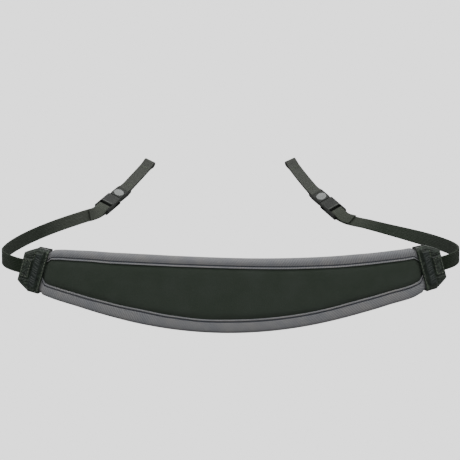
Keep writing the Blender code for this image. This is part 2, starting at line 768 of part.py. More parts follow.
def make_socket():
    """The buckle's female half: open shell with side windows, a ridge, rails and the webbing bar."""
    mouth = PLUG_LENGTH + FIT_GAP
    end = mouth + SOCKET_LENGTH
    wide = BUCKLE_HALF_WIDTH
    thick = BUCKLE_HALF_THICK
    body = bevelled_box((mouth, -wide, -thick), (end, wide, thick), EDGE_BEVEL)
    ridge_end = mouth + SHELL_LENGTH
    ridge_half = wide - 1.5 * EDGE_BEVEL
    ridge = []
    for y in (-ridge_half, ridge_half):
        ridge.append((ridge_end - RIDGE_WIDTH, y, thick - SHELL_WALL / 2))
        ridge.append((ridge_end, y, thick - SHELL_WALL / 2))
        ridge.append((ridge_end - RIDGE_WIDTH * 0.75, y, thick + RIDGE_HEIGHT))
        ridge.append((ridge_end - RIDGE_WIDTH * 0.25, y, thick + RIDGE_HEIGHT))
    inner_half = wide - SHELL_WALL
    inner_thick = PRONG_HALF_THICK + 2 * FIT_GAP
    cavity = box(
        (mouth - SHELL_WALL, -inner_half, -inner_thick),
        (mouth + SHELL_DEPTH, inner_half, inner_thick),
    )
    window = box(
        (mouth + WINDOW_START, -2 * wide, -inner_thick),
        (mouth + WINDOW_START + WINDOW_LENGTH, 2 * wide, inner_thick),
    )
    slot_half = WEB_WIDTH / 2 + FIT_GAP
    slot = box((ridge_end, -slot_half, -2 * thick), (end + SHELL_WALL, slot_half, 2 * thick))
    bar = round_bar(
        socket_bar_distance(), SOCKET_BAR_RADIUS, SOCKET_BAR_STRETCH, slot_half + SHELL_WALL / 2
    )
    return carve(body, [
        ("UNION", hull(ridge)),
        ("DIFFERENCE", cavity),
        ("DIFFERENCE", window),
        ("DIFFERENCE", slot),
        ("UNION", bar),
    ])


def build():
    """Makes every piece and puts it in its place."""
    clear_scene()
    dark_cloth = make_material("panel_cloth", (0.020, 0.026, 0.020), 0.9)
    grey_cloth = make_material("band_cloth", (0.16, 0.16, 0.17), 0.85)
    moulded = make_material("tab_rubber", (0.012, 0.014, 0.013), 0.45)
    web_cloth = make_material("webbing_nylon", (0.022, 0.026, 0.020), 0.8)
    plastic = make_material("buckle_plastic", (0.030, 0.032, 0.029), 0.5)
    pale = make_material("badge_print", (0.42, 0.43, 0.42), 0.5)

    add_object("pad_core", make_core(), dark_cloth)
    add_object(
        "binding_top",
        make_band("binding_top", BAND_TOP, TOP_CORNER_RUN, TOP_CORNER_RISE, False),
        grey_cloth,
    )
    add_object(
        "binding_bottom",
        make_band("binding_bottom", BAND_BOTTOM, BOTTOM_CORNER_RUN, BOTTOM_CORNER_RISE, True),
        grey_cloth,
    )
    plug_mesh = make_plug()
    socket_mesh = make_socket()
    badge_mesh = make_badge()
    for side in SIDES:
        add_object("tab_" + side.name, make_tab(side), moulded)
        add_object("webbing_" + side.name, make_webbing(side), web_cloth)
        add_object("ring_loop_" + side.name, make_ring_loop(side), web_cloth)
        holder = bpy.data.objects.new("buckle_place_" + side.name, None)
        bpy.context.scene.collection.objects.link(holder)
        holder.matrix_world = frame_matrix(buckle_frame(side), side.sign)
        for name, mesh, material in (
            ("plug_", plug_mesh, plastic),
            ("socket_", socket_mesh, plastic),
            ("disc_", badge_mesh, pale),
        ):
            piece = add_object(name + side.name, mesh, material)
            piece.parent = holder


build()
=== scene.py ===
"""Looks of a padded camera neck strap: cloth pad, bound edges, moulded tabs, webbing and buckles.

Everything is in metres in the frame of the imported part: +X to the right, the pad towards -Y, +Z up.
The pieces follow in the order in which the strap is put together.
"""
import json
import math
from collections import namedtuple

import bmesh
import bpy
import numpy as np
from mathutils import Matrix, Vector

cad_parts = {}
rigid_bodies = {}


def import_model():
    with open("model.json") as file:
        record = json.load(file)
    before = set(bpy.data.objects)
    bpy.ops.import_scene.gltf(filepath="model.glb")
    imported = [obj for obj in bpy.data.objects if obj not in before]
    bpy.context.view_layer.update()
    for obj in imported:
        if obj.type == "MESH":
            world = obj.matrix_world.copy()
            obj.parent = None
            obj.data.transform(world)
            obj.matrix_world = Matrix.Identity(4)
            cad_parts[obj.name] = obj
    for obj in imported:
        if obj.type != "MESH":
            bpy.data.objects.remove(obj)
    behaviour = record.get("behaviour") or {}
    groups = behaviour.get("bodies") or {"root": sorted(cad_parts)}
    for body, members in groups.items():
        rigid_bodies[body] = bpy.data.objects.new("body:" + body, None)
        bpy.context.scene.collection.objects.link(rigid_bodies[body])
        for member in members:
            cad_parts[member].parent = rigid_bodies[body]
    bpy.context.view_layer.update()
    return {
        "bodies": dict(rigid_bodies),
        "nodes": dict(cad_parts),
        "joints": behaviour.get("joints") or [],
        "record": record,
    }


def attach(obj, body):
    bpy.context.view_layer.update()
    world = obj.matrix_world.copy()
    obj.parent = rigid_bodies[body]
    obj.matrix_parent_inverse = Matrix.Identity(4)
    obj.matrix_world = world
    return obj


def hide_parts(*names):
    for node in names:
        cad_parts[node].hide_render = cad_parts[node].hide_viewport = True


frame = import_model()

# Padded panel: soft foam under a thin dark knitted cloth, cut as a crescent and worn round the neck.
# It is drawn flat, wrapped round an upright cylinder, and swollen by a cloth simulation between its
# bound edges. Its ends are squeezed where the tabs hold them.
PAD_TOP_LENGTH = 0.2570
PAD_BOTTOM_LENGTH = 0.2768
PAD_END_HEIGHT = 0.0290
TOP_SAG = 0.0020
BOTTOM_SAG = 0.0234
TOP_SKEW = 0.0013
BOTTOM_SKEW = 0.0002
PAD_RADIUS = 0.370
PAD_REACH = 0.3541
PAD_LEVEL = 0.0005
PAD_SHIFT = 0.0014
FIT_GAP = 0.0003
CORE_EDGE_HALF = 0.0010
PANEL_HALF = 0.0021
PANEL_CROWN = 0.0004
PANEL_SHOULDER = 0.0045
HEM_VALLEY = 0.0012
BAND_WALL = 0.0010
BAND_INNER_HALF = CORE_EDGE_HALF + FIT_GAP
BAND_OUTER_HALF = BAND_INNER_HALF + BAND_WALL
HEM_RISE = 0.00035
BAND_TOP = 0.0067
BAND_BOTTOM = 0.0090
TRIM_KEYS = (-0.951, -0.87, -0.75, -0.60, -0.45, -0.30, -0.15, 0.0, 0.35, 0.60, 0.75, 0.88, 0.951)
TOP_TRIM = (0.0, 0.60, 0.70, 0.25, 0.15, 0.0, 0.0, 0.0, 0.15, 0.05, -0.25, -0.30, 0.0)
BOTTOM_TRIM = (0.0, 0.30, -0.10, 0.10, 0.30, 0.35, 0.35, 0.35, 0.40, 0.30, 0.50, 1.40, 0.0)
TOP_WIDER = (0.0, 0.10, 0.25, 0.40, 0.30, 0.15, 0.0, 0.0, 0.40, 0.80, 0.60, 0.65, 0.60)
BOTTOM_WIDER = (-0.90, 0.0, 0.0, 0.65, 1.20, 0.70, 0.25, 0.50, 0.40, 0.75, 0.50, 0.40, -0.75)
MILLIMETRE = 0.001
TOP_CORNER = (0.0035, 0.0009, TOP_WIDER)
BOTTOM_CORNER = (0.0090, 0.0022, BOTTOM_WIDER)
TAB_INSERT = 0.0060
TAB_WALL = 0.0011
PINCH_RUN = 0.0030
PINCH_SQUEEZE = 0.00045
SQUEEZE_REACH = 0.0003
PANEL_STATIONS = 150
PANEL_POINTS = 30
PANEL_EDGE_POWER = 20
SWELL_CAP = 0.0007
SWELL_FROM_HEM = 0.004
SWELL_FROM_TAB = 0.008
SWELL_CLOTH = {
    "mass": 0.3, "tension_stiffness": 12.0, "compression_stiffness": 12.0, "bending_stiffness": 0.5,
    "quality": 5, "use_pressure": True, "uniform_pressure_force": 3.0,
}
SWELL_STEPS = 16
CLOTH_SCALE = 100.0
PANEL_GREENS = [(0.0235, 0.0310, 0.0230), (0.0265, 0.0340, 0.0262), (0.0290, 0.0366, 0.0292)]


def faced_out(mesh, merge=0.0, slivers=0.0, flat=0.0):
    """Turns a mesh's faces outwards, after merging points, clearing slivers and joining flat faces."""
    body = bmesh.new()
    body.from_mesh(mesh)
    if merge:
        bmesh.ops.remove_doubles(body, verts=body.verts, dist=merge)
    if slivers:
        bmesh.ops.dissolve_degenerate(body, edges=body.edges, dist=slivers)
    if flat:
        bmesh.ops.dissolve_limit(body, angle_limit=flat, verts=body.verts, edges=body.edges)
    bmesh.ops.recalc_face_normals(body, faces=body.faces)
    body.to_mesh(mesh)
    body.free()
    return mesh


def surface(name, grid, uv=None, caps=False, paint=None):
    """Joins neighbouring points of a grid into quads, closes its two end rows if asked, and faces it out.

    A ring of points repeats its first one as its last, so that its pattern can run on across the join.
    The paint gives each point a share between 0 and 1 that the piece's material reads by its name.
    """
    rows, columns = grid.shape[:2]
    index = np.arange(rows * columns).reshape(rows, columns)
    quads = np.stack([index[:-1, :-1], index[:-1, 1:], index[1:, 1:], index[1:, :-1]], axis=-1)
    faces = quads.reshape(-1, 4).tolist()
    if caps:
        faces += [index[0, :-1].tolist(), index[-1, :-1].tolist()]
    mesh = bpy.data.meshes.new(name)
    mesh.from_pydata(grid.reshape(-1, 3).tolist(), [], faces)
    if uv is not None:
        layer = mesh.uv_layers.new(name="cloth")
        corners = np.zeros((len(mesh.loops), 2))
        picked = uv.reshape(-1, 2)[quads.reshape(-1)] * CLOTH_SCALE
        corners[:len(picked)] = picked
        layer.data.foreach_set("uv", corners.ravel())
    for key, shares in (paint or {}).items():
        mesh.attributes.new(key, "FLOAT", "POINT").data.foreach_set("value", shares.ravel())
    return faced_out(mesh, merge=0.000001, slivers=0.0000005)


def added(name, data):
    """A new object in the scene, at its origin."""
    made = bpy.data.objects.new(name, data)
    bpy.context.scene.collection.objects.link(made)
    return made


def put(name, mesh, material, nodes=(), sharp=50.0):
    """Adds a finished mesh as a piece that rides on the part, in place of the nodes it stands for."""
    piece = added(name, mesh)
    mesh.materials.clear()
    mesh.materials.append(material)
    mesh.shade_smooth()
    mesh.set_sharp_from_angle(angle=math.radians(sharp))
    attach(piece, "root")
    if nodes:
        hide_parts(*nodes)
    return piece


def unit(vector):
    """A vector, or an array of them, divided by its length."""
    vector = np.asarray(vector, dtype=float)
    return vector / np.linalg.norm(vector, axis=-1, keepdims=True)


def travelled(points):
    """Each point's distance from the first one, along the straight lines between them."""
    return np.concatenate([[0.0], np.cumsum(np.linalg.norm(np.diff(points, axis=0), axis=1))])


def smooth(value):
    """Three times the square less twice the cube of a value held between 0 and 1."""
    value = np.clip(value, 0.0, 1.0)
    return value * value * (3.0 - 2.0 * value)


def node(tree, kind, sockets=None, **settings):
    """Adds a shader node with its settings and its fixed inputs."""
    made = tree.nodes.new(kind)
    for key, value in settings.items():
        setattr(made, key, value)
    for key, value in (sockets or {}).items():
        made.inputs[key].default_value = value
    return made


def material_base(name, roughness, sheen=0.0, sheen_roughness=0.5, specular=0.5):
    """A material whose fixed values sit on the shader's own sockets."""
    material = bpy.data.materials.new(name)
    material.use_nodes = True
    shader = material.node_tree.nodes["Principled BSDF"]
    shader.inputs["Roughness"].default_value = roughness
    shader.inputs["Sheen Weight"].default_value = sheen
    shader.inputs["Sheen Roughness"].default_value = sheen_roughness
    shader.inputs["Specular IOR Level"].default_value = specular
    return material, material.node_tree, shader


def object_place(tree):
    """The piece's own place, in metres."""
    return node(tree, "ShaderNodeTexCoord").outputs["Object"]


def cloth_place(tree):
    """The cloth's own length and width, one unit to 10 mm."""
    return node(tree, "ShaderNodeUVMap", uv_map="cloth").outputs["UV"]


def pattern(tree, kind, place, **inputs):
    """Adds a pattern on the given place. An underscore in an input's name stands for a space."""
    named = {key.replace("_", " "): value for key, value in inputs.items()}
    made = node(tree, "ShaderNodeTex" + kind, named)
    tree.links.new(place, made.inputs["Vector"])
    return made


def noise(tree, place, scale, detail=2.0):
    """A cloudy pattern's values."""
    return pattern(tree, "Noise", place, Scale=scale, Detail=detail).outputs["Fac"]


def marked(tree, key):
    """The share that the mesh carries at each point under a name."""
    return node(tree, "ShaderNodeAttribute", attribute_name=key).outputs["Fac"]


def product(tree, first, second):
    """Two values, or a value and a number, multiplied."""
    made = node(tree, "ShaderNodeMath", operation="MULTIPLY")
    tree.links.new(first, made.inputs[0])
    if isinstance(second, float):
        made.inputs[1].default_value = second
    else:
        tree.links.new(second, made.inputs[1])
    return made.outputs[0]


def mixed_colour(tree, share, under, over, blend_type="MIX"):
    """Lays a second colour over a first one by a share. Either is a fixed colour or a pattern."""
    made = node(tree, "ShaderNodeMix", data_type="RGBA", blend_type=blend_type)
    for socket, value in ((0, share), (6, under), (7, over)):
        if isinstance(value, float):
            made.inputs[socket].default_value = value
        elif isinstance(value, tuple):
            made.inputs[socket].default_value = (*value, 1.0)
        else:
            tree.links.new(value, made.inputs[socket])
    return made.outputs[2]


def ramp(tree, source, low, high, colours):
    """Spreads a pattern's values between two limits over a row of colours."""
    made = node(tree, "ShaderNodeValToRGB")
    stops = made.color_ramp.elements
    stops[0].position = low
    stops[0].color = (*colours[0], 1.0)
    stops[1].position = high
    stops[1].color = (*colours[-1], 1.0)
    for count, colour in enumerate(colours[1:-1], start=1):
        stop = stops.new(low + (high - low) * count / (len(colours) - 1))
        stop.color = (*colour, 1.0)
    tree.links.new(source, made.inputs["Fac"])
    return made.outputs["Color"]


def bump(tree, shader, layers, distance):
    """Adds patterns, each by its share, and raises the surface by their sum."""
    total = None
    for source, share in layers:
        scaled = product(tree, source, share)
        if total is None:
            total = scaled
            continue
        joined = node(tree, "ShaderNodeMath", operation="ADD")
        tree.links.new(total, joined.inputs[0])
        tree.links.new(scaled, joined.inputs[1])
        total = joined.outputs[0]
    raised = node(tree, "ShaderNodeBump", {"Strength": 1.0, "Distance": distance})
    tree.links.new(total, raised.inputs["Height"])
    tree.links.new(raised.outputs["Normal"], shader.inputs["Normal"])


def pad_surface(u, z, n):
    """Wraps a flat point round an upright cylinder: its length becomes an angle, its height over the
    cloth adds to the radius."""
    angle = u / PAD_RADIUS
    radius = PAD_RADIUS + n
    x = PAD_SHIFT + radius * np.sin(angle)
    y = PAD_RADIUS - PAD_REACH - radius * np.cos(angle)
    return np.stack(np.broadcast_arrays(x, y, z), axis=-1)


def hand_sewn(s, trims):
    """A small uneven trim along the pad, in metres: smooth steps between a few millimetre values."""
    stage = np.interp(s, TRIM_KEYS, np.arange(len(TRIM_KEYS)))
    lower = np.minimum(np.floor(stage), len(TRIM_KEYS) - 2).astype(int)
    blend = smooth(stage - lower)
    trims = np.array(trims) * MILLIMETRE
    return trims[lower] * (1 - blend) + trims[lower + 1] * blend


def pad_edges(s):
    """Top and bottom edge points at share s: lengths in proportion to s, sag as the cosine of a
    quarter turn times s, a small lean as a sine that fades towards the ends, and the sewn trim."""
    sag = np.cos(np.pi * s / 2)
    lean = np.sin(np.pi * s) * (1.0 - s ** 4)
    top_level = PAD_LEVEL - TOP_SAG * sag - TOP_SKEW * lean + hand_sewn(s, TOP_TRIM)
    bottom_level = PAD_LEVEL - PAD_END_HEIGHT - BOTTOM_SAG * sag + BOTTOM_SKEW * lean
    bottom_level = bottom_level - hand_sewn(s, BOTTOM_TRIM)
    top = np.stack([s * PAD_TOP_LENGTH / 2, top_level], axis=-1)
    bottom = np.stack([s * PAD_BOTTOM_LENGTH / 2, bottom_level], axis=-1)
    return top, bottom


def end_distance(s):
    """The top edge's length from share s to the nearer end."""
    return (1.0 - np.abs(s)) * PAD_TOP_LENGTH / 2


def corner_growth(s, corner):
    """A quarter ellipse that widens a band over the run beside the tab, and its uneven sewn width."""
    run, rise, wider = corner
    share = np.clip((run + TAB_INSERT - end_distance(s)) / run, 0.0, 1.0)
    return rise * (1.0 - np.sqrt(1.0 - share ** 2)) + hand_sewn(s, wider)


def section_frame(s):
    """Each station's edge point and line across the pad, its height and how far it is squeezed."""
    top, bottom = pad_edges(s)
    across = unit(top - bottom)
    pinch = smooth((TAB_INSERT + PINCH_RUN - end_distance(s)) / PINCH_RUN)
    inset = (TAB_WALL + FIT_GAP) * pinch
    height = np.linalg.norm(top - bottom, axis=-1) - 2 * inset
    return top - across * inset[:, None], across, height, PINCH_SQUEEZE * pinch


def place_sections(s, distance, rise, from_bottom=False):
    """Sends rows of distance from an edge and height over the cloth's middle to the wrapped pad."""
    start, across, height, squeeze = section_frame(s)
    down = height[:, None] - distance if from_bottom else distance
    flat = start[:, None] - across[:, None] * down[..., None]
    rise = rise - np.tanh(rise / SQUEEZE_REACH) * squeeze[:, None]
    return pad_surface(flat[..., 0], flat[..., 1], rise)


def pad_stations(count):
    """Shares of the half length, closer together towards the ends."""
    turn = np.linspace(-np.pi / 2, np.pi / 2, count)
    return 0.7 * np.sin(turn) + 0.3 * turn / (np.pi / 2)


def points_of(mesh):
    """The mesh's points as rows of three."""
    points = np.zeros(len(mesh.vertices) * 3)
    mesh.vertices.foreach_get("co", points)
    return points.reshape(-1, 3)


def swell(mesh, free, cap):
    """Blows a closed cloth up by a simulation and keeps each point's move under a cap."""
    rest = points_of(mesh)
    worked = added("swelling", mesh.copy())
    held = worked.vertex_groups.new(name="held")
    held.add(np.flatnonzero(free < 0.5).tolist(), 1.0, "REPLACE")
    cloth = worked.modifiers.new("cloth", "CLOTH")
    for key, value in SWELL_CLOTH.items():
        setattr(cloth.settings, key, value)
    cloth.settings.vertex_group_mass = "held"
    cloth.settings.effector_weights.gravity = 0.0
    cloth.point_cache.frame_start = 1
    cloth.point_cache.frame_end = SWELL_STEPS
    for step in range(1, SWELL_STEPS + 1):
        bpy.context.scene.frame_set(step)
    swollen = worked.evaluated_get(bpy.context.evaluated_depsgraph_get())
    move = points_of(swollen.data) - rest
    far = np.linalg.norm(move, axis=1, keepdims=True)
    move = move * np.tanh(far / cap) * cap / np.maximum(far, 1e-9)
    mesh.vertices.foreach_set("co", (rest + move * free[:, None]).ravel())
    bpy.data.objects.remove(worked, do_unlink=True)
    bpy.context.scene.frame_set(1)


s = pad_stations(PANEL_STATIONS)
height = section_frame(s)[2]
edge = BAND_WALL + FIT_GAP
top_hem = BAND_TOP + corner_growth(s, TOP_CORNER)
bottom_hem = height - BAND_BOTTOM - corner_growth(s, BOTTOM_CORNER)
share = (1.0 - np.cos(np.linspace(0.0, np.pi, PANEL_POINTS))) / 2
distance = edge + (height[:, None] - 2 * edge) * share
inside = np.minimum(distance - top_hem[:, None], bottom_hem[:, None] - distance)
dome = smooth(np.clip(inside / PANEL_SHOULDER, 0.0, 1.0)) * PANEL_CROWN
puff = smooth(inside / HEM_VALLEY + 0.1) * (PANEL_HALF - CORE_EDGE_HALF) + dome
rise = CORE_EDGE_HALF + puff
rise = rise * np.sqrt(1.0 - (2 * share - 1.0) ** PANEL_EDGE_POWER)
distance = np.concatenate([distance, distance[:, -2::-1]], axis=1)
rise = np.concatenate([rise, -rise[:, -2::-1]], axis=1)
grid = place_sections(s, distance, rise)
grid[:, -1] = grid[:, 0]
length = s[:, None] * PAD_TOP_LENGTH / 2 + distance * 0.0
panel_mesh = surface("pad_panel", grid, np.stack([length, distance], axis=-1), caps=True)
panel_points = points_of(panel_mesh)
turn = np.arctan2(panel_points[:, 0] - PAD_SHIFT, PAD_RADIUS - PAD_REACH - panel_points[:, 1])
flat_u = turn * PAD_RADIUS
flat_z = panel_points[:, 2]
reach = np.clip(flat_u / (PAD_TOP_LENGTH / 2), -1.0, 1.0)
hem_top_line = np.interp(flat_u, s * PAD_TOP_LENGTH / 2, pad_edges(s)[0][:, 1] - top_hem)
hem_bottom_line = np.interp(
    flat_u, s * PAD_BOTTOM_LENGTH / 2, pad_edges(s)[1][:, 1] + height - bottom_hem
)
free = smooth(np.minimum(hem_top_line - flat_z, flat_z - hem_bottom_line) / SWELL_FROM_HEM)
free = free * smooth((end_distance(reach) - TAB_INSERT) / SWELL_FROM_TAB)
swell(panel_mesh, free, SWELL_CAP)

panel_cloth, tree, shader = material_base("panel_knit", 0.92, sheen=0.03, specular=0.15)
place = object_place(tree)
knit = pattern(tree, "Voronoi", place, Scale=1500.0).outputs["Distance"]
rows = pattern(tree, "Wave", cloth_place(tree), Scale=5.2, Distortion=1.5).outputs["Fac"]
mottle = noise(tree, place, 60.0, 4.0)
tree.links.new(ramp(tree, mottle, 0.32, 0.70, PANEL_GREENS), shader.inputs["Base Color"])
bump(tree, shader, [(knit, 0.6), (rows, 0.4)], 0.00008)

panel = put("pad_panel", panel_mesh, panel_cloth, ["pad_core"])
rounder = panel.modifiers.new("rounder", "SUBSURF")
rounder.levels = 1
rounder.render_levels = 1


# Edge bands: grey stretch cloth folded over each long edge of the pad, its inner hem rolled into a
# thin raised rim and stitched down in a narrow groove outside that rim, front and back.
BAND_STATIONS = 560
FOLD_ROUND = 0.0030
HEM_WIDTH = 0.0009
GROOVE_WIDTH = 0.0013
GROOVE_DEPTH = 0.00065
BAND_PUFF = 0.00032
STITCH_PITCH = 0.0026
STITCH_LENGTH = 0.0021
THREAD_RADIUS = 0.00022
GATHER = 0.00007
GATHER_REACH = 0.0012
RIM_SHARE = 1.3
STITCH_PULL = 0.15
HEM_POINTS = 15
BAND_POINTS = 9
FOLD_POINTS = 10
FOLD_FLAT = 0.2
HEM_ROOT = 0.35
GRAIN_SLANT = math.radians(38.0)
BAND_GREYS = [(0.125, 0.129, 0.138), (0.144, 0.145, 0.149), (0.163, 0.160, 0.157)]
GRAIN_SHADES = [(0.79, 0.79, 0.81), (1.10, 1.10, 1.09)]
# Painted shade: the dark bluish colour laid into the stitched groove.
GROOVE_PAINTED_SHADE = (0.036, 0.039, 0.048)

Band = namedtuple("Band", "name width corner from_bottom length")
BANDS = (
    Band("binding_top", BAND_TOP, TOP_CORNER, False, PAD_TOP_LENGTH),
    Band("binding_bottom", BAND_BOTTOM, BOTTOM_CORNER, True, PAD_BOTTOM_LENGTH),
)


def band_groove(past_hem):
    """1 in the middle of the stitched groove, falling to 0 at its sides as a cosine."""
    share = np.clip((past_hem - HEM_WIDTH) / GROOVE_WIDTH, 0.0, 1.0)
    return 0.5 - 0.5 * np.cos(2 * np.pi * share)


def band_height(past_hem, width, length):
    """The band's outer height at a distance outward from its hem.

    A half circle makes the rim, a cosine dip the groove, which is deeper at each stitch, a sine
    the puffed cloth between groove and fold, and short ripples run out from the stitches.
    """
    rim = np.sqrt(np.clip(1.0 - (2 * past_hem / HEM_WIDTH - 1.0) ** 2, 0.0, 1.0))
    rim = np.where(past_hem < HEM_WIDTH, rim, 0.0)
    groove = band_groove(past_hem)
    beat = np.cos(2 * np.pi * length / STITCH_PITCH)
    puff_start = HEM_WIDTH + GROOVE_WIDTH / 2
    puff_share = np.clip((past_hem - puff_start) / (width - puff_start), 0, 1)
    ripple = GATHER * beat * np.exp(-((past_hem - HEM_WIDTH - GROOVE_WIDTH) / GATHER_REACH) ** 2)
    return (
        HEM_RISE * RIM_SHARE * rim - GROOVE_DEPTH * groove * (1.0 - STITCH_PULL - STITCH_PULL * beat)
        + BAND_PUFF * np.sin(np.pi * puff_share) + ripple
    )


def band_grid(s, band):
    """A band's ring of points at each station: hem to fold outside, back the same way, and the inside."""
    hem = (band.width + corner_growth(s, band.corner))[:, None]
    length = s[:, None] * band.length / 2
    near_hem = np.linspace(0.0, HEM_WIDTH + GROOVE_WIDTH, HEM_POINTS)[None]
    rest = np.linspace(0.0, 1.0, BAND_POINTS)[None, 1:]
    puffed = near_hem[:, -1:] + (hem - FOLD_ROUND - near_hem[:, -1:]) * rest
    past = np.concatenate([near_hem + 0 * hem, puffed], axis=1)
    outer = BAND_OUTER_HALF + band_height(past, hem - FOLD_ROUND * FOLD_FLAT, length)
    outer[:, 0] = BAND_INNER_HALF + BAND_WALL * HEM_ROOT
    fold = np.radians(np.linspace(90.0, 0.0, FOLD_POINTS))[None, 1:]
    fold_rise = outer[:, -1:] * np.sin(fold)
    front_distance = np.concatenate([hem - past, FOLD_ROUND - FOLD_ROUND * np.cos(fold) + 0 * hem], axis=1)
    front_rise = np.concatenate([outer, fold_rise], axis=1)
    inner_distance = np.concatenate([
        hem, 0 * hem + FOLD_ROUND, 0 * hem + BAND_WALL, 0 * hem + FOLD_ROUND, hem,
    ], axis=1)
    inner_rise = np.array([[-1.0, -1.0, 0.0, 1.0, 1.0]]) * BAND_INNER_HALF + 0 * hem
    distance = np.concatenate(
        [front_distance, front_distance[:, -2::-1], inner_distance, front_distance[:, :1]], axis=1
    )
    rise = np.concatenate([front_rise, -front_rise[:, -2::-1], inner_rise, front_rise[:, :1]], axis=1)
    grid = place_sections(s, distance, rise, band.from_bottom)
    travel = travelled(grid[len(s) // 2])
    uv = np.stack([length + 0 * distance, travel[None] + 0 * distance], axis=-1)
    # The groove's share of painted shade, on the front and mirrored on the back.
    seam = np.zeros(distance.shape)
    seam[:, :past.shape[1]] = band_groove(past)
    front_count = front_distance.shape[1]
    seam[:, front_count:2 * front_count - 1] = seam[:, :front_count][:, -2::-1]
    return grid, uv, seam


def turned_place(tree, place, angle):
    """A place turned about its third axis."""
    made = node(tree, "ShaderNodeMapping", {"Rotation": (0.0, 0.0, angle)})
    tree.links.new(place, made.inputs["Vector"])
    return made.outputs["Vector"]


band_cloth, tree, shader = material_base("band_jersey", 0.9, sheen=0.08, specular=0.15)
place = object_place(tree)
slanted = turned_place(tree, cloth_place(tree), GRAIN_SLANT)
grain = pattern(tree, "Wave", slanted, Scale=2.3, Distortion=3.2, Detail=3.0, Detail_Scale=2.0)
grain = grain.outputs["Fac"]
grey = ramp(tree, noise(tree, place, 90.0, 5.0), 0.30, 0.72, BAND_GREYS)
lines = ramp(tree, grain, 0.1, 0.9, GRAIN_SHADES)
shade = mixed_colour(tree, 1.0, grey, lines, blend_type="MULTIPLY")
# The stitched groove is painted darker: painted shade in the recess.
tree.links.new(mixed_colour(tree, marked(tree, "seam"), shade, GROOVE_PAINTED_SHADE), shader.inputs["Base Color"])
bump(tree, shader, [(grain, 0.5), (noise(tree, place, 900.0, 3.0), 0.6)], 0.00010)

for band in BANDS:
    grid, uv, seam = band_grid(pad_stations(BAND_STATIONS), band)
    cloth = surface(band.name + "_cloth", grid, uv, caps=True, paint={"seam": seam})
    put(band.name + "_cloth", cloth, band_cloth, [band.name])


# Band stitches: one short dark blue thread after another along each groove, front and back, each
# rising a little from the cloth in its middle and diving into it at both ends.
THREAD_SIDES = 6
THREAD_STEPS = np.array([-1.0, -0.72, -0.3, 0.3, 0.72, 1.0])
THREAD_THICKNESS = np.array([0.25, 0.8, 1.0, 1.0, 0.8, 0.25]) * THREAD_RADIUS
THREAD_ARCH = 0.00012
THREAD_SINK = 0.55
BLUE_THREAD = [(0.016, 0.019, 0.028), (0.042, 0.047, 0.062)]


def threads(centre, along, out, length, arch=THREAD_ARCH):
    """Spindles of six sides: thinner towards both ends, their middle arched out as a parabola."""
    share = THREAD_STEPS
    thick = THREAD_THICKNESS
    turn = np.arange(THREAD_SIDES + 1) * 2 * np.pi / THREAD_SIDES
    aside = unit(np.cross(along, out))
    spine = centre[:, None] + along[:, None] * (share * length / 2)[None, :, None]
    spine = spine + out[:, None] * (arch * (1.0 - share ** 2))[None, :, None]
    ring = aside[:, None, None] * np.cos(turn)[None, None, :, None]
    ring = ring + out[:, None, None] * np.sin(turn)[None, None, :, None]
    return spine[:, :, None] + ring * thick[None, :, None, None]


def thread_mesh(name, grids):
    """Joins many spindles into one mesh, each closed at both ends."""
    count, rings, sides = grids.shape[:3]
    kept = grids[:, :, :-1]
    sides = sides - 1
    start = (np.arange(count) * rings * sides)[:, None, None]
    ring = (np.arange(rings - 1) * sides)[None, :, None]
    side = np.arange(sides)[None, None]
    after = (np.arange(sides) + 1) % sides
    a = start + ring + side
    b = start + ring + after
    quads = np.stack([a, b, b + sides, a + sides], axis=-1).reshape(-1, 4).tolist()
    low = (start[:, 0] + np.arange(sides)[::-1]).tolist()
    high = (start[:, 0] + (rings - 1) * sides + np.arange(sides)).tolist()
    mesh = bpy.data.meshes.new(name)
    mesh.from_pydata(kept.reshape(-1, 3).tolist(), [], quads + low + high)
    return faced_out(mesh)


def thread_material(name, colours):
    """Twisted sewing thread: fine slanting plies in two shades."""
    material, tree, shader = material_base(name, 0.55, sheen=0.2, specular=0.4)
    plies = pattern(tree, "Wave", object_place(tree), Scale=500.0, Distortion=1.0)
    plies.bands_direction = "DIAGONAL"
    tree.links.new(ramp(tree, plies.outputs["Fac"], 0.2, 0.8, colours), shader.inputs["Base Color"])
    bump(tree, shader, [(plies.outputs["Fac"], 1.0)], 0.00004)
    return material


def in_groove(band, share, rise):
    """Places in the middle of a band's groove, at shares of the half length, so far over the middle."""
    line = (band.width + corner_growth(share, band.corner) - HEM_WIDTH - GROOVE_WIDTH / 2)[:, None]
    return place_sections(share, line, rise + 0 * line, band.from_bottom)[:, 0]


band_thread = thread_material("band_thread", BLUE_THREAD)
for band in BANDS:
    ends = band.length / 2 - TAB_INSERT
    middle = (np.arange(int(2 * ends / STITCH_PITCH)) + 0.5) * STITCH_PITCH - ends
    share = middle / (band.length / 2)
    half_stitch = STITCH_LENGTH / band.length
    sewn = []
    for face in (1.0, -1.0):
        rise = face * (BAND_OUTER_HALF - GROOVE_DEPTH * THREAD_SINK)
        centre = in_groove(band, share, rise)
        along = in_groove(band, share + half_stitch, rise) - in_groove(band, share - half_stitch, rise)
        out = in_groove(band, share, 2 * rise) - centre
        sewn.append(threads(centre, unit(along), unit(out), STITCH_LENGTH))
    name = band.name + "_stitches"
    put(name, thread_mesh(name, np.concatenate(sewn)), band_thread)


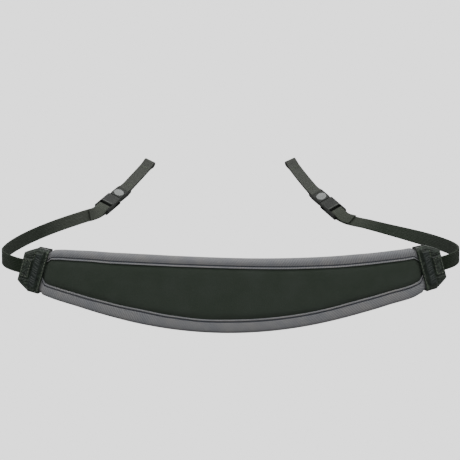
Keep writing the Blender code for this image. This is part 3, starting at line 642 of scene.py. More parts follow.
# End tabs: black moulded rubber pieces that clamp the pad's ends. A wide slope runs round the edge, a
# raised band with low uneven ribs lies across the face, and a raised box sewn with olive thread holds
# the webbing.
TAB_LENGTH = 0.0174
TAB_CHAMFER_START = 0.0082
TAB_NARROW = 0.0005
TAB_OUTER_HEIGHT = 0.0198
WEB_WIDTH = 0.010
WEB_THICK = 0.0013
POCKET_HALF = BAND_OUTER_HALF + HEM_RISE - PINCH_SQUEEZE + FIT_GAP
TAB_SLOPE = 0.0020
TAB_SLOPE_DROP = 0.0011
TAB_SLOPE_POWER = 1.15
TAB_RAISED = (0.0035, 0.0086)
TAB_RAISED_END = 0.0016
TAB_RAISED_SOFT = 0.0008
TAB_RIB_PITCH = 0.0019
TAB_RIB_LEAN = 0.4
TAB_RIB_WAVER = 1.8
TAB_RIB = 0.00014
TAB_RIB_INSET = 0.0009
TAB_RIB_END = 0.0032
TAB_RIB_SOFT = 0.0005
TAB_RELIEF = 0.00055
TAB_BOX = (0.0097, 0.0166)
TAB_BOX_HALF = 0.0066
TAB_BOX_SOFT = 0.0006
TAB_BOX_RIM = 0.0008
TAB_BOX_SIDE_RIM = 0.0009
TAB_BOX_SINK = 0.00018
TAB_SINK_SOFT = 0.0004
TAB_STEP = 0.00022
TAB_STEP_START = 0.0098
TAB_STEP_SOFT = 0.0008
TAB_FRAME_LINE = (0.0002, 0.00028, 0.00022, 0.0030)
TAB_CRUMPLE = 0.00015
TAB_RUN = 0.001
TAB_ROWS = 150
TAB_ACROSS = ((0.0, 0.2, 18), (0.2, 0.93, 62), (0.93, 1.0, 12))
TAB_RIM_RISE = np.array([[0.75, 0.35]])
TAB_RIM_REACH = np.array([[0.00025, 0.00035]])
TAB_POCKET_SIDE = 0.0005
TAB_MOUTH_WALL = 0.0004
TAB_END_SHARE = 0.55
TAB_FACE_MARGIN = 0.0001
TAB_SEWN_LIP = 0.0007
TAB_SEWN_CHANNEL = 0.0093
TAB_SEWN_BOX = (0.0106, 0.0158)
TAB_SEWN_HALF = TAB_BOX_HALF - 0.0011
TAB_STITCH_PITCH = 0.0022
TAB_STITCH_SHARE = 0.8
TAB_STITCH_SINK = 0.00003
TAB_STITCH_PROBE = 0.0003
# Dark greens of the moulding; the lightest one makes painted glints.
TAB_GREENS_AND_GLINTS = [(0.0036, 0.0074, 0.0040), (0.0085, 0.0150, 0.0088), (0.0290, 0.0410, 0.0290)]
BAND_BLUISH_TONE = (0.0075, 0.0116, 0.0115)
BAND_TONE_SHARE = 0.6
OLIVE_THREAD = [(0.034, 0.045, 0.026), (0.075, 0.092, 0.060)]
# Lines across the tab: how far out each lies, its width, its height, and where it starts from the edge
TAB_LINES = (
    (0.0007, 0.00060, 0.00012, 0.0006),
    (0.0024, 0.00035, -0.00040, 0.0008),
    (0.0093, 0.00032, -0.00018, 0.0012),
)

Side = namedtuple("Side", "name sign splay drop roll sway lift run_splay run_drop upright")
SIDES = (
    Side("left", -1, 35.2, 27.0, 24.0, 1.0, 10.6, 41.0, 2.8, 0.8),
    Side("right", 1, 33.1, 34.5, 25.0, 5.6, 13.4, 39.7, 1.9, 0.2),
)


def tab_frame():
    """The flat frame of a right-hand tab: its mouth's middle, its axes, slant and half height."""
    mouth = 1.0 - TAB_INSERT / (PAD_TOP_LENGTH / 2)
    top, bottom = pad_edges(np.array(mouth))
    ahead_top, ahead_bottom = pad_edges(np.array(mouth + 0.001))
    along = unit(unit(ahead_top - top) + unit(ahead_bottom - bottom))
    across = np.array([-along[1], along[0]])
    half_line = (top - bottom) / 2
    half_height = half_line @ across
    return (top + bottom) / 2, along, across, -(half_line @ along) / half_height, half_height


def tab_point(side, a, c, n, slanted=True):
    """Sends a place on the tab, outward a, up c and n over the middle, to the wrapped pad."""
    middle, along, across, slant, _ = tab_frame()
    a = a - c * slant if slanted else a
    u = middle[0] + along[0] * a + across[0] * c
    z = middle[1] + along[1] * a + across[1] * c
    return pad_surface(u * side.sign, z, n)


def tab_half(a):
    """Half the tab's height, narrowing outwards in a straight line."""
    return tab_frame()[4] - TAB_NARROW * a / TAB_CHAMFER_START


def tab_reach(c):
    """How far out the tab runs at height c: full up to the outer corners, then back along the slope."""
    shoulder = tab_frame()[4] - TAB_NARROW
    back = (np.abs(c) - TAB_OUTER_HEIGHT / 2) / (shoulder - TAB_OUTER_HEIGHT / 2)
    return TAB_LENGTH - (TAB_LENGTH - TAB_CHAMFER_START) * np.clip(back, 0.0, 1.0) ** TAB_SLOPE_POWER


def soft_box(a, c, low, high, half, edge):
    """1 inside a rectangle and 0 outside it, with a smooth edge."""
    inside = np.minimum(np.minimum(a - low, high - a), half - np.abs(c))
    return smooth(inside / edge + 0.5)


def bell(distance, width):
    """1 on a line, falling beside it as e to the minus square of distance over width."""
    return np.exp(-(distance / width) ** 2)


def beyond(distance, start, run=TAB_RUN):
    """0 before a start and 1 past it, smooth over a short run."""
    return smooth((distance - start) / run)


def tab_band(a, c):
    """1 on the raised band and 0 beside it, with soft sides and ends."""
    return soft_box(a, c, *TAB_RAISED, tab_half(a) - TAB_SLOPE - TAB_RAISED_END, TAB_RAISED_SOFT)


def tab_height(a, c):
    """The face's height over the middle.

    It falls from the mouth to the outer edge in a straight line and drops along the edge slope. Bell
    curves make the lip, its groove and a channel, soft boxes the raised band, the sewn box with its
    sunk middle and the steps beside it, a cosine the ribs, and products of sines the crumpled skin.
    """
    half = tab_half(a)
    low, high = TAB_BOX
    thick = POCKET_HALF + TAB_WALL
    thin = WEB_THICK / 2 + FIT_GAP + TAB_WALL
    base = thick + (thin - thick) * a / TAB_LENGTH
    slope = (TAB_LENGTH - TAB_CHAMFER_START) / (half - TAB_OUTER_HEIGHT / 2)
    slope = np.where(np.abs(c) > TAB_OUTER_HEIGHT / 2, slope, 0.0)
    from_edge = np.minimum(np.maximum(half - np.abs(c), 0.0), (tab_reach(c) - a) / np.sqrt(1 + slope ** 2))
    drop = TAB_SLOPE_DROP * (1.0 - smooth(from_edge / TAB_SLOPE))
    raised = tab_band(a, c)
    inset = (TAB_RAISED[0] + TAB_RIB_INSET, TAB_RAISED[1] - TAB_RIB_INSET)
    ribs = np.cos(2 * np.pi * (c - TAB_RIB_LEAN * a) / TAB_RIB_PITCH + TAB_RIB_WAVER * np.sin(c * 900))
    ribs = TAB_RIB * ribs * soft_box(a, c, *inset, half - TAB_SLOPE - TAB_RIB_END, TAB_RIB_SOFT)
    box = soft_box(a, c, low, high, TAB_BOX_HALF, TAB_BOX_SOFT)
    sunk_half = TAB_BOX_HALF - TAB_BOX_SIDE_RIM
    sunk = soft_box(a, c, low + TAB_BOX_RIM, high - TAB_BOX_RIM, sunk_half, TAB_SINK_SOFT)
    step = beyond(np.abs(c), TAB_BOX_HALF + TAB_BOX_RIM, TAB_BOX_SOFT)
    step = TAB_STEP * step * beyond(a, TAB_STEP_START, TAB_BOX_SOFT)
    step = step * beyond(from_edge, TAB_SLOPE, TAB_STEP_SOFT)
    place, width, depth, begin = TAB_FRAME_LINE
    frame_line = depth * bell(from_edge - TAB_SLOPE - place, width) * beyond(a, begin)
    crumple = np.sin(a * 2100 + 3 * np.sin(c * 700)) * np.sin(c * 1500 + 2 * np.sin(a * 900))
    crumple = TAB_CRUMPLE * crumple * (1.0 - raised) * smooth(from_edge / TAB_RUN)
    lines = sum(
        rise * bell(a - place, width) * beyond(from_edge, begin) for place, width, rise, begin in TAB_LINES
    )
    return (
        base - drop + TAB_RELIEF * (raised + box) - TAB_BOX_SINK * sunk + lines + step
        - frame_line + crumple + ribs
    )


def tab_grid(side):
    """The tab as rings of points from its lower to its upper edge.

    Each ring goes out of the pocket, over the lip, across the front to the outer edge, round it and
    back across the rear in the same way, so the wall is closed and the pocket is open to the pad.
    """
    half = tab_frame()[4]
    spread = np.linspace(-1.0, 1.0, TAB_ROWS)
    c = (half * (0.75 * spread + 0.25 * np.sin(spread * np.pi / 2)))[:, None]
    reach = tab_reach(c)
    over = np.unique(np.concatenate([np.linspace(*step) for step in TAB_ACROSS]))[None]
    a = over * reach
    front = tab_height(a, c)
    rim = TAB_RIM_RISE * front[:, -1:]
    in_pocket = smooth((half - TAB_WALL - np.abs(c)) / TAB_POCKET_SIDE)
    depth = (TAB_INSERT + FIT_GAP) * in_pocket
    pocket_a = np.concatenate([depth, depth, 0 * depth], axis=1)
    mouth = np.minimum(POCKET_HALF, front[:, :1] - TAB_MOUTH_WALL)
    pocket_n = np.concatenate([0 * mouth, mouth, mouth], axis=1)
    half_a = np.concatenate([pocket_a, a, reach + TAB_RIM_REACH], axis=1)
    half_n = np.concatenate([pocket_n, front, rim], axis=1)
    ring_a = np.concatenate([half_a, half_a[:, ::-1]], axis=1)
    ring_n = np.concatenate([half_n, -half_n[:, ::-1]], axis=1)
    ring_n[[0, -1]] *= TAB_END_SHARE
    grid = tab_point(side, ring_a, c + 0 * ring_a, ring_n)
    grid[:, -1] = grid[:, 0]
    on_face = np.abs(ring_n) > POCKET_HALF + TAB_FACE_MARGIN
    return grid, tab_band(ring_a, c + 0 * ring_a) * on_face


tab_rubber, tree, shader = material_base("tab_moulding", 0.40, specular=0.34)
place = object_place(tree)
# The mottle's lightest specks are painted glints; the same mottle also varies roughness and bump as wear.
wear_and_glints = noise(tree, place, 420.0, 4.0)
tint = ramp(tree, wear_and_glints, 0.35, 0.75, TAB_GREENS_AND_GLINTS)
# The raised band is painted a paler, bluer tone over its whole face.
toned_band = product(tree, marked(tree, "band"), BAND_TONE_SHARE)
tree.links.new(mixed_colour(tree, toned_band, tint, BAND_BLUISH_TONE), shader.inputs["Base Color"])
rough = node(tree, "ShaderNodeMapRange", {"From Min": 0.3, "From Max": 0.7, "To Min": 0.34, "To Max": 0.55})
tree.links.new(wear_and_glints, rough.inputs["Value"])
tree.links.new(rough.outputs["Result"], shader.inputs["Roughness"])
bump(tree, shader, [(noise(tree, place, 1100.0, 3.0), 0.5), (wear_and_glints, 0.8)], 0.00025)

olive_thread = thread_material("olive_thread", OLIVE_THREAD)


def stitch_row(side, start, end, face):
    """Threads at an even pitch along a straight row on the tab's face."""
    start, end = np.array(start), np.array(end)
    span = np.linalg.norm(end - start)
    count = max(1, int(round(span / TAB_STITCH_PITCH)))
    share = (np.arange(count) + 0.5) / count
    flat = start + (end - start) * share[:, None]
    ahead = flat + (end - start) / span * TAB_STITCH_PROBE

    def on_face(spot, over=0.0):
        a, c = spot.T
        return tab_point(side, a, c, face * (tab_height(a, c) - TAB_STITCH_SINK + over))

    centre = on_face(flat)
    out = unit(on_face(flat, 0.001) - centre)
    return threads(centre, unit(on_face(ahead) - centre), out, span / count * TAB_STITCH_SHARE)


for side in SIDES:
    grid, band = tab_grid(side)
    name = "tab_" + side.name
    mesh = surface(name + "_moulding", grid, paint={"band": band})
    put(name + "_moulding", mesh, tab_rubber, [name], sharp=60.0)
    half = tab_frame()[4]
    near, far = TAB_SEWN_BOX
    up, down = TAB_SEWN_HALF, -TAB_SEWN_HALF
    rows = (
        ((TAB_SEWN_LIP, 0.0012 - half), (TAB_SEWN_LIP, half - 0.0012)),
        ((TAB_SEWN_CHANNEL, TAB_BOX_HALF + 0.0002), (TAB_SEWN_CHANNEL, half - 0.0034)),
        ((near, down), (near, up)), ((near, up), (far, up)),
        ((near, down), (far, down)), ((far + 0.0001, down), (far + 0.0001, up)),
    )
    sewn = [stitch_row(side, start, end, face) for start, end in rows for face in (1.0, -1.0)]
    sewn = thread_mesh(name + "_stitches", np.concatenate(sewn))
    put(name + "_stitches", sewn, olive_thread)


# Webbing: narrow flat woven nylon from inside each tab, round a loose turn and back to the socket's
# bar, where it passes round the bar and lies doubled over itself for a short tail.
RING_SPACING = 0.120
LOOP_LENGTH = 0.0393
STRAIGHT_RUN = 0.0035
LEAVE_RUN = 0.0140
RUN_HANDLE = 0.061
TURN_HANDLE = 0.038
TURN_BULGE = 0.0154
TURN_DEPTH = 0.0425
TURN_DROP = 0.0020
TURN_RISE = math.radians(4.0)
TURN_NEAR_HANDLE = 0.020
TURN_TAB_HANDLE = 0.008
TAIL_LENGTH = 0.0200
WEB_INSERT = 0.0080
PLUG_LENGTH = 0.0144
SHELL_LENGTH = 0.0133
RIDGE_WIDTH = 0.0013
SOCKET_BAR_RADIUS = 0.0011
DUST_REACH = (-0.125, -0.060)
DUST_SLANT = math.radians(-10.0)
DUST_COLOURS = ((0.036, 0.040, 0.033), (0.062, 0.068, 0.057), (0.086, 0.093, 0.079))
WEB_COLOURS = [(0.0092, 0.0138, 0.0085), (0.0180, 0.0245, 0.0165), (0.0265, 0.0340, 0.0245)]
ROUTE_POINTS = (8, 24, 120, 60, 8)
SPINE_PROBE = 0.0006
RIB_SWELL = 0.05
RIB_TURNS = 2.5
SIDE_POINTS = 15
TAIL_POINTS = 26
WEB_STATIONS = 330

Frame = namedtuple("Frame", "origin along across normal")


def heading_at(out, splay, drop):
    """A direction towards the pad, spread outwards and dropping by angles in degrees."""
    splay = math.radians(splay)
    drop = math.radians(drop)
    flat_run = math.cos(drop)
    return np.array([out * math.sin(splay) * flat_run, -math.cos(splay) * flat_run, -math.sin(drop)])


def turned(first, second, angle):
    """Two square directions turned together by an angle, the first one towards the second."""
    cosine, sine = math.cos(angle), math.sin(angle)
    return cosine * first + sine * second, cosine * second - sine * first


def loop_frame(side):
    """The ring loop's frame: its eye, its line down to the buckle, its width and its face."""
    splay = math.radians(side.splay)
    along = heading_at(side.sign, side.splay, side.drop)
    level = np.array([side.sign * math.cos(splay), math.sin(splay), 0.0])
    across, normal = turned(level, side.sign * np.cross(along, level), math.radians(side.roll))
    return Frame(np.array([side.sign * RING_SPACING / 2, 0.0, 0.0]), along, across, normal)


def swayed(frame, distance, sway):
    """A frame further along a loop that bends edgewise along an arc of the given whole angle."""
    radius = LOOP_LENGTH / math.radians(sway)
    angle = distance / radius
    side_step = radius * (1.0 - math.cos(angle))
    origin = frame.origin + radius * math.sin(angle) * frame.along + side_step * frame.across
    return Frame(origin, *turned(frame.along, frame.across, angle), frame.normal)


def buckle_frame(side):
    """The buckle's frame on the plug's bar, lifted about its width."""
    frame = swayed(loop_frame(side), LOOP_LENGTH, side.sway)
    along, normal = turned(frame.along, frame.normal, math.radians(side.lift))
    return Frame(frame.origin, along, frame.across, normal)


def bezier(p0, p1, p2, p3, count):
    """Points along a cubic curve by its four weights, without its last one."""
    t = np.linspace(0.0, 1.0, count, endpoint=False)[:, None]
    return (1 - t) ** 3 * p0 + 3 * (1 - t) ** 2 * t * p1 + 3 * (1 - t) * t ** 2 * p2 + t ** 3 * p3


def web_route(side):
    """The middle line from the socket's bar to its end in the tab, with its width keys."""
    frame = buckle_frame(side)
    bar = PLUG_LENGTH + SHELL_LENGTH + RIDGE_WIDTH / 2 + 3 * FIT_GAP + WEB_THICK + SOCKET_BAR_RADIUS
    start = frame.origin + frame.along * bar
    straight = np.linspace(0.0, STRAIGHT_RUN, ROUTE_POINTS[0], endpoint=False)[:, None]
    points = [start + frame.along * straight]
    run_heading = heading_at(side.sign, side.run_splay, side.run_drop)
    share = np.linspace(0.0, 1.0, ROUTE_POINTS[1])[:, None]
    headings = unit(frame.along * (1 - smooth(share)) + run_heading * smooth(share))
    leave = start + frame.along * STRAIGHT_RUN + np.cumsum(headings * LEAVE_RUN / len(share), axis=0)
    points.append(leave[:-1])
    run_start = leave[-1]

    def tab_place(a, c=0.0):
        return tab_point(side, np.float64(a), c, 0.0, slanted=False)

    exit_point = tab_place(TAB_LENGTH + WEB_THICK)
    into_tab = unit(tab_place(TAB_LENGTH) - exit_point)
    tab_width = unit(tab_place(TAB_LENGTH, WEB_WIDTH / 2) - tab_place(TAB_LENGTH, -WEB_WIDTH / 2))
    turn_point = exit_point + np.array([side.sign * TURN_BULGE, TURN_DEPTH, -TURN_DROP])
    heading = np.array([0.0, -math.cos(TURN_RISE), math.sin(TURN_RISE)])
    before = turn_point - heading * TURN_HANDLE
    after_buckle = run_start + run_heading * RUN_HANDLE
    points.append(bezier(run_start, after_buckle, before, turn_point, ROUTE_POINTS[2]))
    after = turn_point + heading * TURN_NEAR_HANDLE
    before_tab = exit_point - into_tab * TURN_TAB_HANDLE
    points.append(bezier(turn_point, after, before_tab, exit_point, ROUTE_POINTS[3]))
    last = tab_place(TAB_LENGTH - WEB_INSERT)
    points.append(exit_point + (last - exit_point) * np.linspace(0.0, 1.0, ROUTE_POINTS[4])[:, None])
    counts = np.cumsum([len(group) for group in points])
    line = np.concatenate(points)
    travel = travelled(line)
    key_travel = np.array([0.0, TAIL_LENGTH, travel[counts[2]], travel[counts[3]]])
    upright = np.array([0.0, 0.0, 1.0])
    tail_width = frame.across * (1 - side.upright) + upright * side.upright
    keys = np.array([frame.across, tail_width, upright, tab_width])
    return line, travel, key_travel, keys


def web_frames(side, at):
    """The webbing's place, width and face directions at distances from the socket's bar."""
    line, travel, key_travel, keys = web_route(side)

    def place(distance):
        return np.stack([np.interp(distance, travel, line[:, axis]) for axis in range(3)], axis=-1)

    def around(reach):
        return place(np.maximum(at - reach, 0.0)), place(np.minimum(at + reach, travel[-1]))

    centre = sum(around(SPINE_PROBE / 2)) / 2
    behind, ahead = around(SPINE_PROBE)
    heading = unit(ahead - behind)
    stage = np.interp(at, key_travel, np.arange(len(key_travel)))
    lower = np.minimum(stage.astype(int), len(key_travel) - 2)
    blend = smooth(stage - lower)[:, None]
    width = unit(keys[lower] * (1 - blend) + keys[lower + 1] * blend)
    width = unit(width - heading * np.sum(width * heading, axis=1, keepdims=True))
    return centre, width, side.sign * np.cross(heading, width)


def ribbon(place, across, outward, width, thick):
    """A flat band swept along places: a section with round edges and faces ribbed as a cosine."""
    side_points = np.linspace(-1.0, 1.0, SIDE_POINTS)
    half = thick / 2
    flat = side_points * (width / 2 - half)
    face = half * (1.0 + RIB_SWELL * np.cos(side_points * np.pi * RIB_TURNS))
    turn = np.radians(np.linspace(90.0, -90.0, 7))[1:-1]
    front = np.stack([flat, face], axis=1)
    edge = np.stack([width / 2 - half + half * np.cos(turn), half * np.sin(turn)], axis=1)
    section = np.concatenate([front, edge, front[::-1] * (1, -1), -edge, front[:1]])
    grid = place[:, None] + across[:, None] * section[None, :, :1] + outward[:, None] * section[None, :, 1:]
    uv = np.stack(np.broadcast_arrays(travelled(place)[:, None], travelled(section)[None]), axis=-1)
    return grid, uv


def web_material(name, colours, sheen, dusty=None):
    """Woven nylon: ribs along the band crossed by fine picks, on its own length and width.

    Where a dusty reach is given, the cloth grows paler over it towards the buckles, the left one first.
    """
    material, tree, shader = material_base(name, 0.85, sheen=sheen, sheen_roughness=0.4, specular=0.05)
    place = object_place(tree)
    picks = pattern(tree, "Wave", cloth_place(tree), Scale=3.6, Distortion=0.4)
    ends = pattern(tree, "Wave", cloth_place(tree), Scale=2.9, Distortion=0.4)
    ends.bands_direction = "Y"
    woven = product(tree, picks.outputs["Fac"], ends.outputs["Fac"])
    colour = ramp(tree, woven, 0.0, 0.9, colours)
    if dusty:
        apart = node(tree, "ShaderNodeSeparateXYZ")
        tree.links.new(turned_place(tree, place, DUST_SLANT), apart.inputs["Vector"])
        reach = node(tree, "ShaderNodeMapRange", {"From Min": dusty[0], "From Max": dusty[1]})
        tree.links.new(apart.outputs["Y"], reach.inputs["Value"])
        pale = ramp(tree, woven, 0.0, 0.9, DUST_COLOURS)
        colour = mixed_colour(tree, reach.outputs["Result"], colour, pale)
    tree.links.new(colour, shader.inputs["Base Color"])
    bump(tree, shader, [(woven, 0.9), (noise(tree, place, 700.0, 4.0), 0.4)], 0.00018)
    return material


web_cloth = web_material("webbing_weave", WEB_COLOURS, 0.03, DUST_REACH)
for side in SIDES:
    whole = web_route(side)[1][-1]
    near = np.linspace(0.0, TAIL_LENGTH, TAIL_POINTS)
    at = np.concatenate([near, np.linspace(TAIL_LENGTH, whole, WEB_STATIONS)[1:]])
    centre, width, face = web_frames(side, at)
    bar_offset = SOCKET_BAR_RADIUS + FIT_GAP + WEB_THICK / 2
    pair_offset = (WEB_THICK + FIT_GAP) / 2
    leaving = smooth((at - STRAIGHT_RUN) / (TAIL_LENGTH - STRAIGHT_RUN) * 2)
    offset = bar_offset + (pair_offset - bar_offset) * leaving
    main = centre - face * (offset * (1.0 - smooth((at - TAIL_LENGTH) / TAIL_LENGTH)))[:, None]
    tail = (centre + face * offset[:, None])[:len(near)]
    bar = buckle_frame(side)
    turns = np.radians(np.linspace(-90.0, 90.0, 15))[1:-1][:, None]
    radial = -np.cos(turns) * bar.along + np.sin(turns) * bar.normal
    wrap = centre[0] + radial * bar_offset
    place = np.concatenate([main[::-1], wrap, tail])
    round_bar = np.repeat(bar.across[None], len(turns), axis=0)
    across = np.concatenate([width[::-1], round_bar, width[:len(near)]])
    outward = np.concatenate([-face[::-1], radial, face[:len(near)]])
    grid, uv = ribbon(place, across, outward, WEB_WIDTH, WEB_THICK)
    name = "webbing_" + side.name + "_woven"
    put(name, surface(name, grid, uv, caps=True), web_cloth, ["webbing_" + side.name])


# Ring loops: thinner webbing sewn to itself, with one eye for the ring and one round the plug's bar,
# bar-tacked across beside each eye.
EYE_RADIUS = 0.0017
LOOP_WIDTH = 0.0095
LOOP_THICK = 0.0011
LOOP_MERGE = 0.0055
BAR_RADIUS = 0.0010
RING_EYE_TURN = (62.0, 298.0)
BAR_EYE_TURN = (-112.0, 112.0)
LOOP_COLOURS = [(0.037, 0.040, 0.035), (0.068, 0.071, 0.064), (0.097, 0.100, 0.092)]
TACK_PLACES = (LOOP_MERGE + 0.0012, LOOP_MERGE + 0.0026)
TACK_PLACES += (LOOP_LENGTH - LOOP_MERGE - 0.0018, LOOP_LENGTH - LOOP_MERGE - 0.0004)
TACK_STITCHES = 5
TACK_PITCH = LOOP_WIDTH / 6
TACK_ARCH = 0.0001

loop_cloth = web_material("loop_weave", LOOP_COLOURS, 0.02)
for side in SIDES:
    base = loop_frame(side)
    layer = LOOP_THICK / 2 + FIT_GAP / 2
    eye = EYE_RADIUS + LOOP_THICK / 2
    bar_eye = BAR_RADIUS + FIT_GAP + LOOP_THICK / 2
    turn = np.radians(np.linspace(*RING_EYE_TURN, 26))
    ring_part = np.stack([eye * np.cos(turn), eye * np.sin(turn)], axis=1)
    run = np.linspace(LOOP_MERGE, LOOP_LENGTH - LOOP_MERGE, 40)
    under = np.stack([run, 0 * run - layer], axis=1)
    turn = np.radians(np.linspace(*BAR_EYE_TURN, 24))
    bar_part = np.stack([LOOP_LENGTH + bar_eye * np.cos(turn), bar_eye * np.sin(turn)], axis=1)
    over = np.stack([run[::-1], 0 * run + layer], axis=1)
    path = np.concatenate([ring_part, under, bar_part, over, ring_part[:1]])
    closing = path[1:2] - path[-2:-1]
    step = unit(np.concatenate([closing, path[2:] - path[:-2], closing]))
    outward_flat = np.stack([step[:, 1], -step[:, 0]], axis=-1)
    frames = [swayed(base, distance, side.sway) for distance in path[:, 0]]
    place = np.array([f.origin + f.normal * rise for f, rise in zip(frames, path[:, 1])])
    across = np.array([f.across for f in frames])
    outward = np.array([f.along * o[0] + f.normal * o[1] for f, o in zip(frames, outward_flat)])
    grid, uv = ribbon(place, across, outward, LOOP_WIDTH, LOOP_THICK)
    grid[-1] = grid[0]
    name = "ring_loop_" + side.name + "_woven"
    put(name, surface(name, grid, uv), loop_cloth, ["ring_loop_" + side.name])
    sewn = []
    spots = (np.arange(TACK_STITCHES) - (TACK_STITCHES - 1) / 2)[:, None] * TACK_PITCH
    for distance in TACK_PLACES:
        here = swayed(base, distance, side.sway)
        for face in (1.0, -1.0):
            centre = here.origin + here.across * spots + here.normal * face * (layer + LOOP_THICK / 2)
            along = here.across + 0 * spots
            out = here.normal * face + 0 * spots
            sewn.append(threads(centre, along, out, TACK_PITCH * 0.9, TACK_ARCH))
    name = "ring_loop_" + side.name + "_tacks"
    put(name, thread_mesh(name, np.concatenate(sewn)), olive_thread)


# Buckle halves: moulded dark plastic with a fine spark texture, clicked together. The solids' own
# walls, slots, prongs and bars are kept and given small rounded edges, as a mould leaves them.
EDGE_ROUND = 0.00035
BUCKLE_HALF_THICK = 0.0030
RIDGE_TOP = BUCKLE_HALF_THICK + 0.0003
BUCKLE_BLACKS = [(0.0085, 0.0098, 0.0085), (0.0140, 0.0156, 0.0135)]
# Painted highlight: the lighter colour laid on the raised ridge.
RIDGE_PAINTED_HIGHLIGHT = (0.060, 0.064, 0.058)

buckle_plastic, tree, shader = material_base("buckle_moulding", 0.55, specular=0.26)
place = object_place(tree)
tint = ramp(tree, noise(tree, place, 160.0, 4.0), 0.3, 0.7, BUCKLE_BLACKS)
# The raised ridge is painted lighter: a painted highlight where its top edge catches light.
tree.links.new(mixed_colour(tree, marked(tree, "ridge"), tint, RIDGE_PAINTED_HIGHLIGHT), shader.inputs["Base Color"])
bump(tree, shader, [(noise(tree, place, 2200.0), 1.0)], 0.00006)


def rounded_copy(node_name, side):
    """The node's own mesh, merged and ready to be rounded, with its raised ridge marked for a painted
    highlight.
    """
    mesh = faced_out(frame["nodes"][node_name].data.copy(), merge=0.000002, flat=math.radians(1.0))
    bar = buckle_frame(side)
    level = points_of(mesh) @ bar.normal - bar.origin @ bar.normal
    ridge = mesh.attributes.new("ridge", "FLOAT", "POINT")
    ridge.data.foreach_set("value", (level > RIDGE_TOP).astype(float))
    return mesh


for side in SIDES:
    for kind in ("plug", "socket"):
        node_name = kind + "_" + side.name
        mesh = rounded_copy(node_name, side)
        piece = put(node_name + "_moulding", mesh, buckle_plastic, [node_name], sharp=35.0)
        rounding = piece.modifiers.new("rounding", "BEVEL")
        rounding.width = EDGE_ROUND
        rounding.segments = 3
        rounding.limit_method = "ANGLE"
        rounding.angle_limit = math.radians(28.0)
        rounding.use_clamp_overlap = True
        rounding.harden_normals = True


# Badges: plain pale satin discs, slightly domed inside a low rim, and pressed into a round recess in
# the face of each plug.
BADGE_RADIUS = 0.0042
BADGE_FROM_BAR = 0.0090
PLUG_HALF_THICK = 0.0025
BADGE_DEPTH = 0.0006
BADGE_DOME = 0.0004
BADGE_GREYS = [(0.120, 0.127, 0.124), (0.158, 0.167, 0.162)]
BADGE_REACH = np.array([0.0, 0.25, 0.5, 0.7, 0.84, 0.90, 0.96, 1.0, 1.0, 0.9, 0.0]) * BADGE_RADIUS
BADGE_FACE = np.array([1.0, 0.97, 0.9, 0.8, 0.65, 0.8, 0.75, 0.4]) * BADGE_DOME
BADGE_BACK = np.array([-0.9, -1.0, -1.0]) * BADGE_DEPTH

badge_paint, tree, shader = material_base("badge_satin", 0.38, specular=0.5)
brushed = noise(tree, object_place(tree), 900.0, 3.0)
tree.links.new(ramp(tree, brushed, 0.3, 0.7, BADGE_GREYS), shader.inputs["Base Color"])
bump(tree, shader, [(brushed, 1.0)], 0.00002)

for side in SIDES:
    bar = buckle_frame(side)
    height = (PLUG_HALF_THICK + np.concatenate([BADGE_FACE, BADGE_BACK]))[:, None, None]
    turn = np.linspace(0.0, 2 * np.pi, 49)[:, None]
    centre = bar.origin + bar.along * BADGE_FROM_BAR
    disc = np.cos(turn) * bar.along + np.sin(turn) * bar.across
    grid = centre + BADGE_REACH[:, None, None] * disc[None] + height * bar.normal
    name = "disc_" + side.name + "_badge"
    put(name, surface(name, grid), badge_paint, ["disc_" + side.name], sharp=40.0)


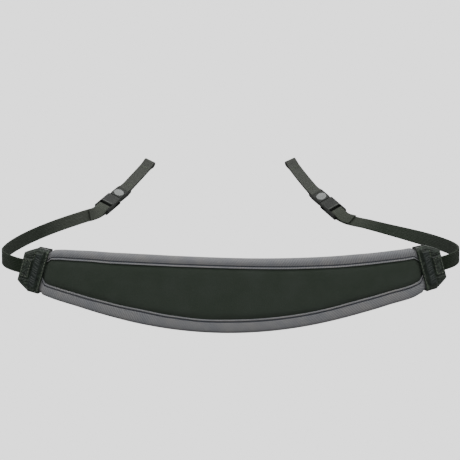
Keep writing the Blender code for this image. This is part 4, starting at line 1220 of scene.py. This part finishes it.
# Surroundings: a pale floor just under the pad's lowest edge, a white room and large soft lamps. A
# long lens looks down on the strap from the front. The floor glows for the lens alone, so that it is
# pale and still throws little light up.
FLOOR_LEVEL = -0.058
FLOOR_REACH = 9.0
FLOOR_GLOW = 1.9
CAMERA_PLACE = (-0.0317, -1.4896, 0.2586)
CAMERA_TILT = math.radians(78.0)
CAMERA_PAN = -0.0269
CAMERA_LENS = 139.7
CAMERA_SENSOR = 36.0
CAMERA_NEAR = 0.01
ROOM_LIGHT = 1.0
LAMP_AIM = Vector((0.0, -0.2, -0.02))
FLOOR_GREYS = [(0.19, 0.19, 0.19), (0.21, 0.21, 0.21)]
LAMPS = (
    ("lamp_above", (0.0, -0.75, 1.25), 1.1, 15.0),
    ("lamp_left", (-1.1, -1.1, 0.7), 0.9, 5.0),
    ("lamp_right", (1.2, -1.0, 0.6), 0.9, 4.5),
    ("lamp_behind", (0.0, 1.0, 0.9), 1.0, 6.0),
)

camera = added("camera", bpy.data.cameras.new("camera"))
camera.location = CAMERA_PLACE
camera.rotation_euler = (CAMERA_TILT, 0.0, CAMERA_PAN)
camera.data.lens = CAMERA_LENS
camera.data.sensor_width = CAMERA_SENSOR
camera.data.clip_start = CAMERA_NEAR
bpy.context.scene.camera = camera

room = bpy.data.worlds.new("white_room")
room.use_nodes = True
room.node_tree.nodes["Background"].inputs["Color"].default_value = (1.0, 1.0, 1.0, 1.0)
room.node_tree.nodes["Background"].inputs["Strength"].default_value = ROOM_LIGHT
bpy.context.scene.world = room

for name, place, size, power in LAMPS:
    lamp = added(name, bpy.data.lights.new(name, "AREA"))
    lamp.data.size = size
    lamp.data.energy = power
    lamp.location = place
    lamp.rotation_euler = (LAMP_AIM - Vector(place)).to_track_quat("-Z", "Y").to_euler()

floor_cloth, tree, shader = material_base("pale_floor", 0.95, specular=0.0)
speckle = noise(tree, object_place(tree), 3.0)
tree.links.new(ramp(tree, speckle, 0.3, 0.7, FLOOR_GREYS), shader.inputs["Base Color"])
glow = node(tree, "ShaderNodeEmission", {"Strength": FLOOR_GLOW})
seen = node(tree, "ShaderNodeLightPath")
mixed = node(tree, "ShaderNodeMixShader")
tree.links.new(seen.outputs["Is Camera Ray"], mixed.inputs[0])
tree.links.new(shader.outputs[0], mixed.inputs[1])
tree.links.new(glow.outputs[0], mixed.inputs[2])
tree.links.new(mixed.outputs[0], tree.nodes["Material Output"].inputs["Surface"])
corner = np.array([-1.0, 1.0]) * FLOOR_REACH
across, away = np.meshgrid(corner, corner)
floor_grid = np.stack([across, away, np.full_like(across, FLOOR_LEVEL)], axis=-1)
floor = added("floor", surface("floor", floor_grid))
floor.data.materials.append(floor_cloth)
